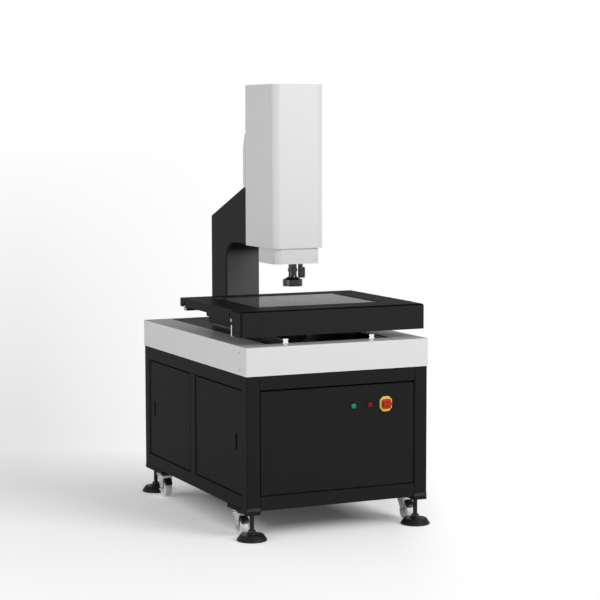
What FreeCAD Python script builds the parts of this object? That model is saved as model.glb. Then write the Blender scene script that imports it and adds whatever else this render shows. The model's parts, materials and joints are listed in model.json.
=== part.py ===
import FreeCAD, Part
import math
import os
from collections import namedtuple

# Vision measuring machine: a moving stage on granite, under a camera head on a column.
# Axes: +X to the operator's right, +Y to the rear, +Z up. The origin lies on the
# floor at the middle of the footprint. All sizes are millimetres.

V = FreeCAD.Vector

# Overall sizes of the stand
skirt_width = 700.0
skirt_depth = 1020.0
skirt_height = 99.0
skirt_sheet = 2.0
skirt_side_lip = 108.0
skirt_front_lip = 80.0
skirt_front_return = 47.0
skirt_overhang = 2.0
skirt_edge_round = 3.0
seam = 0.3
ground_clearance = 105.0
cabinet_height = 467.0

# Cabinet frame of square tube
tube = 50.0
tube_wall = 2.5
tube_round = 4.0
tab_thickness = 3.0
tab_width = 25.0
tab_height = 30.0
floor_sheet = 2.0

# Panels and doors, folded from sheet
panel_sheet = 1.5
panel_fold = 16.0
panel_recess = 3.0
panel_gap = 3.0
panel_top_gap = 5.0
panel_round = 2.0
door_rest_gap = 0.3
slot_width = 12.0
slot_height = 60.0
slot_from_middle = 406.0
slot_above_frame = 231.0
hinge_pin_radius = 3.0
hinge_from_edge = 9.0
hinge_from_face = 5.0
hinge_boss_height = 12.0
running_clearance = 0.05
vent_length = 120.0
vent_height = 6.0
vent_pitch = 14.0
vent_count = 9
vent_from_middle = 140.0
cable_hole_radius = 12.0

# Corner plates, levelling feet and casters
corner_plate_length = 180.0
corner_plate_thickness = 12.5
foot_inset = 30.0
foot_pad_radius = 53.0
foot_pad_top_radius = 39.0
foot_rim_height = 6.0
foot_pad_height = 22.0
foot_hub_radius = 17.0
foot_hub_height = 5.0
foot_stud_radius = 8.0
foot_stud_above_plate = 40.0
foot_nut_across = 26.0
foot_nut_height = 9.0
foot_hub_flare = 3.0
foot_edge = 2.0
caster_from_front = 131.0
wheel_radius = 30.0
wheel_width = 28.0
wheel_hub_width = 33.0
wheel_hub_radius = 9.0
wheel_lift = 2.0
wheel_offset = 24.0
wheel_tread_edge = 4.0
wheel_rim = 8.0
wheel_web_inset = 4.0
axle_radius = 4.0
axle_head_radius = 7.0
axle_head_height = 4.0
fork_gap = 34.0
fork_sheet = 3.0
fork_top_radius = 28.0
fork_foot_radius = 11.0
fork_crown = 4.0
fork_heel = 6.0
raceway_radius = 27.0
raceway_height = 6.0
raceway_gap = 0.3
raceway_edge = 2.0
kingpin_radius = 6.0
stem_radius = 6.0
pedal_pin_radius = 2.5
pedal_pin_forward = 14.0
pedal_pin_above_axle = 38.0
pedal_width = 28.0
pedal_wheel_gap = 3.0
pedal_thickness = 12.0
pedal_boss_wall = 3.0

# Front devices
device_below_top = 125.0
green_x = 57.0
red_x = 120.5
switch_x = 184.0
bezel_radius = 14.0
bezel_height = 4.0
bezel_edge = 1.5
bezel_floor = 4.0
cap_radius = 9.0
cap_proud = 2.5
cap_length = 14.0
cap_edge = 1.2
barrel_radius = 11.0
barrel_length = 26.0
switch_plate_width = 48.0
switch_plate_height = 53.0
switch_plate_thickness = 3.0
switch_plate_chamfer = 9.0
switch_collar_radius = 21.0
switch_collar_height = 2.0
switch_body_size = 40.0
switch_body_depth = 45.0
knob_radius = 18.0
knob_disc_height = 6.0
knob_grip_height = 9.0
knob_grip_width = 10.0
knob_grip_share = 0.94
knob_gap = 0.3
knob_shaft_radius = 4.0
knob_shaft_length = 12.0

# Granite base
granite_side_gap = 18.0
granite_front_gap = 20.0
granite_back_gap = 4.0
granite_chamfer = 2.0

# Linear guides: a larger size on the granite, a smaller one on the other axes
Guide = namedtuple("Guide", "rail_width rail_height height block_width block_length skirt")
large_guide = Guide(rail_width=20.0, rail_height=17.0, height=28.0, block_width=42.0,
                    block_length=67.0, skirt=5.5)
small_guide = Guide(rail_width=15.0, rail_height=15.0, height=24.0, block_width=34.0,
                    block_length=60.0, skirt=4.8)
rail_waist = 2.0
block_fit = 0.4
screw_radius = 8.0
small_screw_radius = 6.0
bearing_width = 34.0
bearing_length = 15.0
bearing_wall = 5.0
motor_size = 40.0
motor_length = 65.0
motor_flange = 6.0
motor_flange_lip = 4.0
motor_round = 4.0
nut_length = 40.0
nut_width = 32.0
nut_wall = 5.0
block_edge = 1.5

# Y axis
y_travel = 150.0
y_rail_x = 167.0
y_rail_lip_gap = 1.0
y_rail_rear = 220.0
y_block_front = -240.0
y_block_rear = -45.0
y_screw_x = -120.0
y_screw_above = 21.0
y_motor_gap = 8.0
y_bearing_reach = 7.0

# Saddle
saddle_width = 484.0
saddle_front = -385.0
saddle_rear = 105.0
saddle_height = 50.0
saddle_top_width = 600.0
saddle_top_rear = 90.0
saddle_top_height = 13.0
carrier_width = 684.0
carrier_depth = 30.0
window_width = 150.0
window_front = -328.0
window_rear = 88.0
channel_width = 50.0
channel_above_screw = 20.0
casting_round = 3.0
window_round = 12.0

# X axis
x_travel = 200.0
x_rail_front = -368.0
x_rail_rear = 72.0
x_block_spacing = 220.0
x_screw_behind = 15.0
x_screw_below = 32.0
x_end_gap = 5.0
x_motor_size = 28.0
x_motor_round = 3.0
end_pad_thickness = 3.0
end_pad_width = 26.0
end_pad_height = 11.0

# Stage top and its front apron
stage_width = 700.0
stage_rear = 114.0
stage_skin = 7.5
stage_wall = 4.0
stage_gap = 0.5
apron_side_overhang = 4.0
apron_front = -477.0
apron_rear = -394.0
apron_height = 89.5
apron_wall = 4.0
apron_corner = 10.0
apron_nose = 9.0
glass_width = 476.0
glass_front = -350.0
glass_rear = 50.0
glass_thickness = 15.0
glass_fit = 0.2
glass_below_top = 1.5
glass_ledge = 10.0
glass_ledge_thickness = 8.0
clip_over_glass = 15.0
clip_over_table = 4.0
clip_length = 12.0
clip_height = 1.5
clip_room = 0.5
clip_places = ((-1, -174.0), (1, 30.0))
glass_edge = 0.8
bracket_width = 7.0
bracket_depth = 8.0
bracket_height = 39.0
bracket_below_apron = 2.0
nut_arm_width = 40.0
nut_arm_gap = 1.5
rail_notch_gap = 1.5

# Column and arm, with heights counted from the granite's top
column_width = 140.0
column_depth = 157.0
column_from_rear = 8.0
arm_height = 217.0
arm_rise = 308.0
arm_flat_rear = 161.0
column_rear_height = 399.0
throat_radius = 75.0
column_edge_round = 9.0

# Head, from the granite's top, and what it holds, from the head's lower edge
head_width = 205.0
head_front = -179.0
head_rear = 76.0
head_rise = 311.0
head_height = 590.0
head_sheet = 3.0
head_front_round = 31.0
head_edge_round = 3.0
bump_depth = 22.0
bump_height = 200.0
bump_chamfer_drop = 56.0
bump_chamfer_reach = 18.0
back_plate_thickness = 20.0
back_plate_width = 160.0
back_plate_rise = 2.0
back_plate_height = 458.0
z_rail_x = 60.0
z_screw_out = 14.4
z_rail_rise = 5.0
z_rail_length = 440.0
z_motor_size = 57.0
z_motor_rise = 428.0
z_motor_length = 76.0
z_motor_round = 5.0
z_bracket_thickness = 10.0
z_block_rise = 95.0
z_block_spacing = 120.0
slide_rise = 30.0
slide_height = 220.0
slide_thickness = 12.0
slide_width = 150.0
wing_thickness = 3.0
wing_reach = 75.0
wing_below_shroud_top = 10.0
z_screw_above_rail = 10.0

# Lens carrier and optics, on the vertical axis at x = 0
lens_y = -120.0
shroud_width = 180.0
shroud_front = -170.0
shroud_rear = -18.0
shroud_drop = 57.0
shroud_height = 191.0
shroud_sheet = 2.5
shroud_round = 28.0
shroud_hole_width = 110.0
shroud_hole_depth = 80.0
shroud_hole_round = 10.0
shroud_hole_back = 12.0
lens_radius = 15.0
lens_collar_radius = 17.5
lens_collar_height = 9.0
lens_collar_above_ring = 53.0
lens_lead_in = 6.0
lens_collar_edge = 1.5
lens_above_web = 16.0
ring_radius = 36.0
ring_bore = 22.0
ring_drop = 83.0
ring_height = 25.0
ring_edge = 1.5
ring_roof = 4.0
ring_cone_radius = 28.0
ring_cone_top_radius = 20.0
ring_cone_height = 7.0
side_unit_x = 32.0
side_unit_radius = 9.0
side_unit_height = 90.0
side_grip_radius = 12.5
side_grip_x = 40.0
side_grip_y = 8.0
side_grip_low = 0.7
side_grip_height = 41.0
side_grip_edge = 2.0
side_unit_y = 2.0
lens_bracket_rise = 62.0
lens_bracket_height = 18.0
lens_bracket_width = 56.0
lens_bracket_nose = 22.0
lens_bracket_round = 8.0
lens_web_width = 28.0
lens_web_reach = 60.0
lens_web_height = 36.0
camera_size = 44.0
camera_height = 62.0
camera_fin_depth = 3.0
camera_fin_count = 6
camera_edge = 2.0
backlight_base_radius = 50.0
backlight_base_height = 10.0
backlight_base_edge = 2.0
backlight_radius = 44.0
backlight_height = 62.0
backlight_edge = 2.0
backlight_edge_height = 4.0
backlight_lens_radius = 38.0
backlight_lens_height = 6.0
backlight_lens_rim = 2.0
backlight_lens_edge = 3.0

# Control box inside the cabinet
control_width = 360.0
control_depth = 300.0
control_height = 250.0
control_lid = 4.0
control_from_middle = 60.0

# Screw heads
screw_head_radius = 3.8
screw_head_height = 2.2
skirt_screw_from_front = 57.0
skirt_screw_heights = (18.0, 78.0)

# Places that follow from the sizes above
half_w = skirt_width / 2
half_d = skirt_depth / 2
cab_x = half_w - skirt_overhang
cab_y = half_d - skirt_overhang
frame_z0 = ground_clearance
frame_z1 = frame_z0 + cabinet_height
skirt_top = frame_z1 + skirt_height
granite_top = skirt_top - skirt_sheet
bay_z0 = frame_z0 + tube
bay_z1 = frame_z1 - tube
panel_z0 = bay_z0 + panel_gap
panel_z1 = bay_z1 - panel_top_gap
panel_face_y = cab_y - panel_recess
door_face_x = cab_x - panel_recess
saddle_z0 = granite_top + large_guide.height
saddle_z1 = saddle_z0 + saddle_height
saddle_top = saddle_z1 + saddle_top_height
stage_z0 = saddle_top + stage_gap
skin_z0 = saddle_top + small_guide.height
stage_top = skin_z0 + stage_skin
glass_top = stage_top - glass_below_top
y_rail_front = -half_d + skirt_front_lip + y_rail_lip_gap
y_screw_z = granite_top + y_screw_above
x_screw_y = saddle_rear + x_screw_behind
x_screw_half = x_travel + nut_arm_width / 2 + x_end_gap + bearing_length
x_screw_z = saddle_top - x_screw_below
device_z = frame_z1 - device_below_top
head_inner_rear = head_rear - head_sheet
plate_front = head_inner_rear - back_plate_thickness
slide_rear = plate_front - small_guide.height
slide_front = slide_rear - slide_thickness
z_screw_y = plate_front - z_screw_out
arm_under = granite_top + arm_rise
column_rear_top = granite_top + column_rear_height
head_bottom = granite_top + head_rise
head_top = head_bottom + head_height
back_plate_bottom = head_bottom + back_plate_rise
z_rail_bottom = head_bottom + z_rail_rise
z_motor_bottom = head_bottom + z_motor_rise
z_block_low = head_bottom + z_block_rise
slide_bottom = head_bottom + slide_rise
shroud_bottom = head_bottom - shroud_drop
ring_bottom = shroud_bottom - ring_drop
ring_top = ring_bottom + ring_height
lens_bracket_bottom = shroud_bottom + lens_bracket_rise
lens_top = lens_bracket_bottom + lens_bracket_height + lens_web_height + lens_above_web
apron_half = stage_width / 2 + apron_side_overhang
column_rear = half_d - column_from_rear
column_front = column_rear - column_depth
caster_y = half_d - skirt_overhang - caster_from_front
wheel_z = wheel_radius + wheel_lift
foot_x = cab_x - foot_inset
foot_y = cab_y - foot_inset
caster_x = cab_x - tube / 2
corner_z0 = frame_z0 - corner_plate_thickness
crown_top = corner_z0 - raceway_height - raceway_gap

CORNERS = {
    "front_left": (-1, -1),
    "front_right": (1, -1),
    "rear_left": (-1, 1),
    "rear_right": (1, 1),
}


def box(x0, x1, y0, y1, z0, z1):
    """Block between two opposite corners, given in any order."""
    low = V(min(x0, x1), min(y0, y1), min(z0, z1))
    return Part.makeBox(abs(x1 - x0), abs(y1 - y0), abs(z1 - z0), low)


def rod(radius, start, end):
    """Round bar between two points."""
    along = V(*end) - V(*start)
    return Part.makeCylinder(radius, along.Length, V(*start), along)


def outline(points):
    """Flat face from a closed list of points."""
    vectors = [V(*p) for p in points]
    return Part.Face(Part.makePolygon(vectors + vectors[:1]))


def turned(profile, x, y):
    """Body turned about a vertical axis from (radius, height) pairs."""
    face = outline([(x + r, y, z) for r, z in profile])
    return face.revolve(V(x, y, 0), V(0, 0, 1), 360)


def edges_along(shape, axis, test=None):
    """Straight edges parallel to an axis that pass a test on their middle."""
    found = []
    for edge in shape.Edges:
        if not isinstance(edge.Curve, Part.Line):
            continue
        way = edge.tangentAt(edge.FirstParameter)
        if abs(abs(way.dot(axis)) - 1) > 1e-6:
            continue
        middle = edge.valueAt((edge.FirstParameter + edge.LastParameter) / 2)
        if test is None or test(middle):
            found.append(edge)
    return found


def rounded(shape, radius, axis, test=None):
    """Shape with its edges along an axis rounded."""
    return shape.makeFillet(radius, edges_along(shape, axis, test))


def write(name, *solids):
    """Save one named piece, or one group of like pieces."""
    shape = solids[0] if len(solids) == 1 else Part.Compound(list(solids))
    shape.exportStep("parts/" + name + ".step")


# Cabinet frame

def square_tube(x0, x1, y0, y1, z0, z1):
    """Square tube along its longest side, with open ends."""
    spans = {"x": x1 - x0, "y": y1 - y0, "z": z1 - z0}
    way = max(spans, key=lambda k: abs(spans[k]))
    axis = {"x": V(1, 0, 0), "y": V(0, 1, 0), "z": V(0, 0, 1)}[way]
    w = tube_wall
    dx, dy, dz = [0 if way == k else w for k in "xyz"]
    outer = rounded(box(x0, x1, y0, y1, z0, z1), tube_round, axis)
    return outer.cut(box(x0 + dx, x1 - dx, y0 + dy, y1 - dy, z0 + dz, z1 - dz))


def panel_tabs():
    """Small plates welded to the posts, on which panels and doors come to rest."""
    tabs = []
    seat_y = panel_face_y - panel_fold
    seat_x = door_face_x - panel_fold - door_rest_gap
    for sx, sy in CORNERS.values():
        for z in (panel_z0 + tab_height, panel_z1 - 2 * tab_height):
            inner_x = sx * (cab_x - tube)
            tabs.append(box(inner_x, inner_x - sx * tab_width,
                            sy * seat_y, sy * (seat_y - tab_thickness), z, z + tab_height))
            inner_y = sy * (cab_y - tube)
            tabs.append(box(sx * seat_x, sx * (seat_x - tab_thickness),
                            inner_y, inner_y - sy * tab_width, z, z + tab_height))
    return tabs


def cabinet_frame():
    """Posts, rails, middle posts and cross members of the stand."""
    inner_x = cab_x - tube
    inner_y = cab_y - tube
    parts = []
    for sx in (-1, 1):
        for sy in (-1, 1):
            parts.append(square_tube(min(sx * inner_x, sx * cab_x), max(sx * inner_x, sx * cab_x),
                                     min(sy * inner_y, sy * cab_y), max(sy * inner_y, sy * cab_y),
                                     frame_z0, frame_z1))
        side = sorted((sx * inner_x, sx * cab_x))
        parts.append(square_tube(side[0], side[1], -tube / 2, tube / 2, bay_z0, bay_z1))
        for z in (frame_z0, bay_z1):
            parts.append(square_tube(side[0], side[1], -inner_y, inner_y, z, z + tube))
    for z in (frame_z0, bay_z1):
        parts.append(square_tube(-inner_x, inner_x, -tube / 2, tube / 2, z, z + tube))
        for sy in (-1, 1):
            span = sorted((sy * inner_y, sy * cab_y))
            parts.append(square_tube(-inner_x, inner_x, span[0], span[1], z, z + tube))
    return parts + panel_tabs()


def cabinet_floor():
    """Two floor sheets between the bottom rails."""
    inner_x = cab_x - tube
    inner_y = cab_y - tube
    return [box(-inner_x, inner_x, sy * tube / 2, sy * inner_y, bay_z0 - floor_sheet, bay_z0)
            for sy in (-1, 1)]


def corner_plates():
    """Thick plates under the corners, bored for the foot studs and caster stems."""
    plates = []
    for sx, sy in CORNERS.values():
        plate = box(sx * cab_x, sx * (cab_x - tube), sy * cab_y,
                    sy * (cab_y - corner_plate_length), corner_z0, frame_z0)
        stud = rod(foot_stud_radius + running_clearance,
                   (sx * foot_x, sy * foot_y, corner_z0), (sx * foot_x, sy * foot_y, frame_z0))
        stem = rod(stem_radius + running_clearance,
                   (sx * caster_x, sy * caster_y, corner_z0),
                   (sx * caster_x, sy * caster_y, frame_z0))
        plates.append(plate.cut(stud).cut(stem))
    return plates


# Panels and doors

def pan(width, height):
    """Folded sheet tray standing in the XZ plane, face at y = 0, folds towards +Y."""
    outer = box(-width / 2, width / 2, 0, panel_fold, 0, height)
    outer = rounded(outer, panel_round, V(0, 1, 0))
    s = panel_sheet
    inner = box(-width / 2 + s, width / 2 - s, s, panel_fold, s, height - s)
    return outer.cut(inner)


def placed(shape, angle, at):
    """Shape turned about the vertical axis and moved."""
    moved = shape.copy()
    moved.rotate(V(0, 0, 0), V(0, 0, 1), angle)
    moved.translate(V(*at))
    return moved


def front_panel():
    """Front cover with holes for the two push buttons and the main switch."""
    width = 2 * (cab_x - tube - panel_gap)
    panel = pan(width, panel_z1 - panel_z0)
    z = device_z - panel_z0
    for x in (green_x, red_x):
        hole = rod(barrel_radius + running_clearance, (x, 0, z), (x, panel_sheet, z))
        panel = panel.cut(hole)
    half = switch_body_size / 2
    panel = panel.cut(box(switch_x - half, switch_x + half, 0, panel_sheet, z - half, z + half))
    return placed(panel, 0, (0, -panel_face_y, panel_z0))


def back_panel():
    """Rear cover with two banks of cooling slots and a cable hole."""
    width = 2 * (cab_x - tube - panel_gap)
    height = panel_z1 - panel_z0
    panel = pan(width, height)
    bank = (vent_count - 1) * vent_pitch
    for side in (-1, 1):
        x = side * vent_from_middle
        for i in range(vent_count):
            z = height / 2 - bank / 2 + i * vent_pitch
            vent = box(x - vent_length / 2, x + vent_length / 2, 0, panel_sheet,
                       z - vent_height / 2, z + vent_height / 2)
            panel = panel.cut(vent)
    low = 3 * cable_hole_radius
    panel = panel.cut(rod(cable_hole_radius, (0, 0, low), (0, panel_sheet, low)))
    return placed(panel, 180, (0, panel_face_y, panel_z0))


def door_left_front():
    """Door of the left front bay, hinged at the middle post."""
    near = tube / 2 + panel_gap
    far = cab_y - tube - panel_gap
    width = far - near
    door = pan(width, panel_z1 - panel_z0)
    pin_x = hinge_from_edge - width / 2
    for z0 in (0, panel_z1 - panel_z0 - hinge_boss_height):
        boss = box(panel_sheet - width / 2, pin_x + hinge_from_edge - panel_sheet,
                   panel_sheet, hinge_from_face + hinge_from_edge, z0, z0 + hinge_boss_height)
        pin = rod(hinge_pin_radius + running_clearance, (pin_x, hinge_from_face, z0),
                  (pin_x, hinge_from_face, z0 + hinge_boss_height))
        door = door.fuse(boss).cut(pin)
    door = door.removeSplitter()
    slot_x = slot_from_middle - (near + far) / 2
    slot_z = frame_z0 + slot_above_frame - panel_z0
    slot = box(slot_x - slot_width / 2, slot_x + slot_width / 2, 0, panel_sheet,
               slot_z - slot_height / 2, slot_z + slot_height / 2)
    slot = rounded(slot, slot_width / 2 - 0.5, V(0, 1, 0))
    door = door.cut(slot)
    return placed(door, -90, (-door_face_x, -(near + far) / 2, panel_z0))


def doors():
    """All four doors: the left front one and its mirror images."""
    first = door_left_front()
    back = first.mirror(V(0, 0, 0), V(0, 1, 0))
    return {
        "door_left_front": first,
        "door_left_rear": back,
        "door_right_front": first.mirror(V(0, 0, 0), V(1, 0, 0)),
        "door_right_rear": back.mirror(V(0, 0, 0), V(1, 0, 0)),
    }


def hinge_pins():
    """Upright pins between the frame rails and the doors."""
    pins = []
    x = door_face_x - hinge_from_face
    y = tube / 2 + panel_gap + hinge_from_edge
    for sx, sy in CORNERS.values():
        pins.append(rod(hinge_pin_radius, (sx * x, sy * y, bay_z0),
                        (sx * x, sy * y, panel_z0 + hinge_boss_height)))
        pins.append(rod(hinge_pin_radius, (sx * x, sy * y, panel_z1 - hinge_boss_height),
                        (sx * x, sy * y, bay_z1)))
    return pins


def control_box():
    """Electrical enclosure on the cabinet floor, with a raised lid."""
    y0 = control_from_middle
    half = control_width / 2
    body = box(-half, half, y0, y0 + control_depth, bay_z0, bay_z0 + control_height)
    inset = 2 * control_lid
    lid = box(-half - control_lid, -half, y0 + inset, y0 + control_depth - inset,
              bay_z0 + inset, bay_z0 + control_height - inset)
    return rounded(body, 2 * control_lid, V(0, 0, 1)).fuse(lid)


# Front devices

def button_bezels():
    """Bezels with barrels through the front panel, bored for the caps."""
    face = -panel_face_y
    made = []
    for x in (green_x, red_x):
        bezel = rod(bezel_radius, (x, face - bezel_height, device_z), (x, face, device_z))
        rim = [e for e in bezel.Edges if abs(e.CenterOfMass.y - (face - bezel_height)) < 1e-6]
        bezel = bezel.makeChamfer(bezel_edge, rim)
        barrel = rod(barrel_radius, (x, face, device_z), (x, face + barrel_length, device_z))
        bore = rod(cap_radius + running_clearance, (x, face - bezel_height, device_z),
                   (x, face + barrel_length - bezel_floor, device_z))
        made.append(bezel.fuse(barrel).cut(bore))
    return made


def button_cap(x):
    """Push button with a chamfered front edge."""
    front = -panel_face_y - bezel_height - cap_proud
    cap = rod(cap_radius, (x, front, device_z), (x, front + cap_length, device_z))
    rim = [e for e in cap.Edges if abs(e.CenterOfMass.y - front) < 1e-6]
    return cap.makeChamfer(cap_edge, rim)


def switch_plate():
    """Yellow escutcheon with clipped corners, its collar and the switch body behind."""
    half_x = switch_plate_width / 2
    half_z = switch_plate_height / 2
    c = switch_plate_chamfer
    face = -panel_face_y
    corners = [(-half_x + c, -half_z), (half_x - c, -half_z), (half_x, -half_z + c),
               (half_x, half_z - c), (half_x - c, half_z), (-half_x + c, half_z),
               (-half_x, half_z - c), (-half_x, -half_z + c)]
    front = face - switch_plate_thickness
    flat = outline([(switch_x + x, front, device_z + z) for x, z in corners])
    plate = flat.extrude(V(0, switch_plate_thickness, 0))
    collar = rod(switch_collar_radius, (switch_x, front - switch_collar_height, device_z),
                 (switch_x, front, device_z))
    half = switch_body_size / 2
    body = box(switch_x - half, switch_x + half, face, face + switch_body_depth,
               device_z - half, device_z + half)
    bore = rod(knob_shaft_radius + running_clearance,
               (switch_x, front - switch_collar_height, device_z),
               (switch_x, face + knob_shaft_length, device_z))
    return plate.fuse(collar).fuse(body).cut(bore).removeSplitter()


def switch_knob():
    """Red rotary handle: a disc, a raised grip bar across it, and the shaft."""
    back = -panel_face_y - switch_plate_thickness - switch_collar_height - knob_gap
    disc = rod(knob_radius, (switch_x, back - knob_disc_height, device_z),
               (switch_x, back, device_z))
    reach = knob_radius * knob_grip_share
    grip = box(switch_x - reach, switch_x + reach,
               back - knob_disc_height - knob_grip_height, back - knob_disc_height,
               device_z - knob_grip_width / 2, device_z + knob_grip_width / 2)
    grip = rounded(grip, knob_grip_width * 0.4, V(0, 1, 0))
    shaft = rod(knob_shaft_radius, (switch_x, back, device_z),
                (switch_x, back + knob_shaft_length, device_z))
    return disc.fuse(grip).fuse(shaft)


# Feet and casters

def foot(sx, sy):
    """Levelling foot: bell-shaped pad, hexagon and threaded stud."""
    x = sx * foot_x
    y = sy * foot_y
    hub_top = foot_pad_height + foot_hub_height
    pad = turned([(0, 0), (foot_pad_radius - foot_edge, 0), (foot_pad_radius, foot_edge),
                  (foot_pad_radius, foot_rim_height), (foot_pad_top_radius, foot_pad_height),
                  (foot_hub_radius + foot_hub_flare, foot_pad_height),
                  (foot_hub_radius, hub_top),
                  (0, hub_top)], x, y)
    reach = foot_nut_across / math.sqrt(3)
    points = []
    for i in range(6):
        turn = math.radians(60 * i)
        points.append((x + reach * math.cos(turn), y + reach * math.sin(turn), hub_top))
    nut = outline(points).extrude(V(0, 0, foot_nut_height))
    stud = rod(foot_stud_radius, (x, y, hub_top), (x, y, frame_z0 + foot_stud_above_plate))
    return pad, nut.fuse(stud)


def caster_tops():
    """Upper raceways with their stems and kingpins, fixed to the corner plates."""
    made = []
    for sx, sy in CORNERS.values():
        x = sx * caster_x
        y = sy * caster_y
        low = corner_z0 - raceway_height
        race = rod(raceway_radius, (x, y, low), (x, y, corner_z0))
        rim = [e for e in race.Edges if abs(e.CenterOfMass.z - low) < 1e-6]
        race = race.makeChamfer(raceway_edge, rim)
        stem = rod(stem_radius, (x, y, corner_z0), (x, y, frame_z0))
        pin = rod(kingpin_radius, (x, y, crown_top - fork_crown), (x, y, low))
        made.append(race.fuse(stem).fuse(pin))
    return made


def caster_fork(x, y):
    """Pressed fork: round crown, two tapered legs and the axle bolt."""
    wheel_y = y - wheel_offset
    crown = rod(fork_top_radius, (x, y, crown_top - fork_crown), (x, y, crown_top))
    half = fork_gap / 2
    legs = []
    for side in (-1, 1):
        inner = x + side * half
        outer = x + side * (half + fork_sheet)
        reach = math.sqrt(fork_top_radius ** 2 - (half + fork_sheet) ** 2)
        foot_r = fork_foot_radius
        toe = 0.6 * foot_r
        nose = wheel_y - foot_r - fork_heel
        profile = [(outer, y + reach, crown_top), (outer, wheel_y + foot_r, wheel_z),
                   (outer, wheel_y + toe, wheel_z - foot_r),
                   (outer, wheel_y - toe, wheel_z - foot_r),
                   (outer, wheel_y - foot_r, wheel_z),
                   (outer, nose, wheel_z + pedal_pin_above_axle - fork_heel),
                   (outer, nose, crown_top)]
        legs.append(outline(profile).extrude(V(inner - outer, 0, 0)))
    bridge = box(x - half - fork_sheet, x + half + fork_sheet,
                 wheel_y - fork_foot_radius - fork_heel, y, crown_top - fork_crown, crown_top)
    fork = crown.fuse(legs[0]).fuse(legs[1]).fuse(bridge)
    fork = fork.cut(rod(kingpin_radius + running_clearance, (x, y, crown_top - fork_crown),
                        (x, y, crown_top)))
    pin_y = wheel_y - pedal_pin_forward
    pin_z = wheel_z + pedal_pin_above_axle
    wide = half + fork_sheet
    fork = fork.cut(rod(pedal_pin_radius + running_clearance, (x - wide, pin_y, pin_z),
                        (x + wide, pin_y, pin_z)))
    fork = fork.cut(rod(axle_radius, (x - wide, wheel_y, wheel_z), (x + wide, wheel_y, wheel_z)))
    axle = rod(axle_radius, (x - wide, wheel_y, wheel_z), (x + wide, wheel_y, wheel_z))
    for side in (-1, 1):
        axle = axle.fuse(rod(axle_head_radius, (x + side * wide, wheel_y, wheel_z),
                             (x + side * (wide + axle_head_height), wheel_y, wheel_z)))
    return fork.removeSplitter(), axle


def caster_wheel(x, y):
    """Solid wheel with a bevelled tread, recessed webs and a proud hub."""
    wheel_y = y - wheel_offset
    r = wheel_radius
    w = wheel_width / 2
    h = wheel_hub_width / 2
    t = wheel_tread_edge
    bore = axle_radius + running_clearance
    web = w - wheel_web_inset
    hub = wheel_hub_radius
    rim = r - wheel_rim
    side = [(h, bore), (h, hub), (web, hub + t / 2), (web, rim - t / 4), (w, rim), (w, r - t),
            (w - t, r)]
    profile = side + [(-a, b) for a, b in reversed(side)]
    face = outline([(x + a, wheel_y, wheel_z + b) for a, b in profile])
    return face.revolve(V(x, wheel_y, wheel_z), V(1, 0, 0), 360)


def caster_pedal(x, y):
    """Brake pedal between the fork legs, just clear of the tread."""
    wheel_y = y - wheel_offset
    pin_y = wheel_y - pedal_pin_forward
    pin_z = wheel_z + pedal_pin_above_axle
    inner = wheel_radius + pedal_wheel_gap
    outer = inner + pedal_thickness
    points = []
    for radius, degrees in ((inner, 104), (inner, 122), (inner, 140), (outer, 140),
                            (outer, 128), (outer, 112)):
        turn = math.radians(degrees)
        points.append((x - pedal_width / 2, wheel_y + radius * math.cos(turn),
                       wheel_z + radius * math.sin(turn)))
    block = outline(points).extrude(V(pedal_width, 0, 0))
    boss = rod(pedal_pin_radius + pedal_boss_wall, (x - pedal_width / 2, pin_y, pin_z),
               (x + pedal_width / 2, pin_y, pin_z))
    wide = fork_gap / 2 + fork_sheet
    pin = rod(pedal_pin_radius, (x - wide, pin_y, pin_z), (x + wide, pin_y, pin_z))
    return block.fuse(boss).fuse(pin)


# Skirt and granite

def whole_skirt():
    """White cover round the granite, open above the working area and at the rear of the top."""
    outer = box(-half_w, half_w, -half_d, half_d, frame_z1, skirt_top)
    outer = rounded(outer, skirt_edge_round, V(0, 0, 1))
    s = skirt_sheet
    outer = outer.cut(box(-half_w + s, half_w - s, -half_d + s, half_d - s,
                          frame_z1, granite_top))
    return outer.cut(box(-half_w + skirt_side_lip, half_w - skirt_side_lip,
                         -half_d + skirt_front_lip, half_d - s, granite_top, skirt_top))


def skirt_pieces():
    """Front cover that wraps the corners, and the main cover behind its seam."""
    skirt = whole_skirt()
    cut_y = -half_d + skirt_front_return
    front = skirt.common(box(-half_w, half_w, -half_d, cut_y, frame_z1, skirt_top))
    main = skirt.common(box(-half_w, half_w, cut_y + seam, half_d, frame_z1, skirt_top))
    for x in (-half_w, half_w):
        for z in skirt_screw_heights:
            y = -half_d + skirt_screw_from_front
            main = main.cut(rod(screw_head_radius / 2 + running_clearance,
                                (x - skirt_sheet, y, frame_z1 + z),
                                (x + skirt_sheet, y, frame_z1 + z)))
    return front, main


def granite_base():
    """Granite slab with chamfered upper edges."""
    x = half_w - granite_side_gap
    slab = box(-x, x, -half_d + granite_front_gap, half_d - granite_back_gap,
               frame_z1, granite_top)
    top = [e for e in slab.Edges if abs(e.CenterOfMass.z - granite_top) < 1e-6]
    return slab.makeChamfer(granite_chamfer, top)


def skirt_screws():
    """Pan-head screws that hold the skirt's sides."""
    made = []
    y = -half_d + skirt_screw_from_front
    for side in (-1, 1):
        x = side * half_w
        for z in skirt_screw_heights:
            at = frame_z1 + z
            head = rod(screw_head_radius, (x, y, at), (x + side * screw_head_height, y, at))
            shank = rod(screw_head_radius / 2, (x - side * skirt_sheet, y, at), (x, y, at))
            made.append(head.fuse(shank))
    return made


# Linear guides and drives

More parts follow.
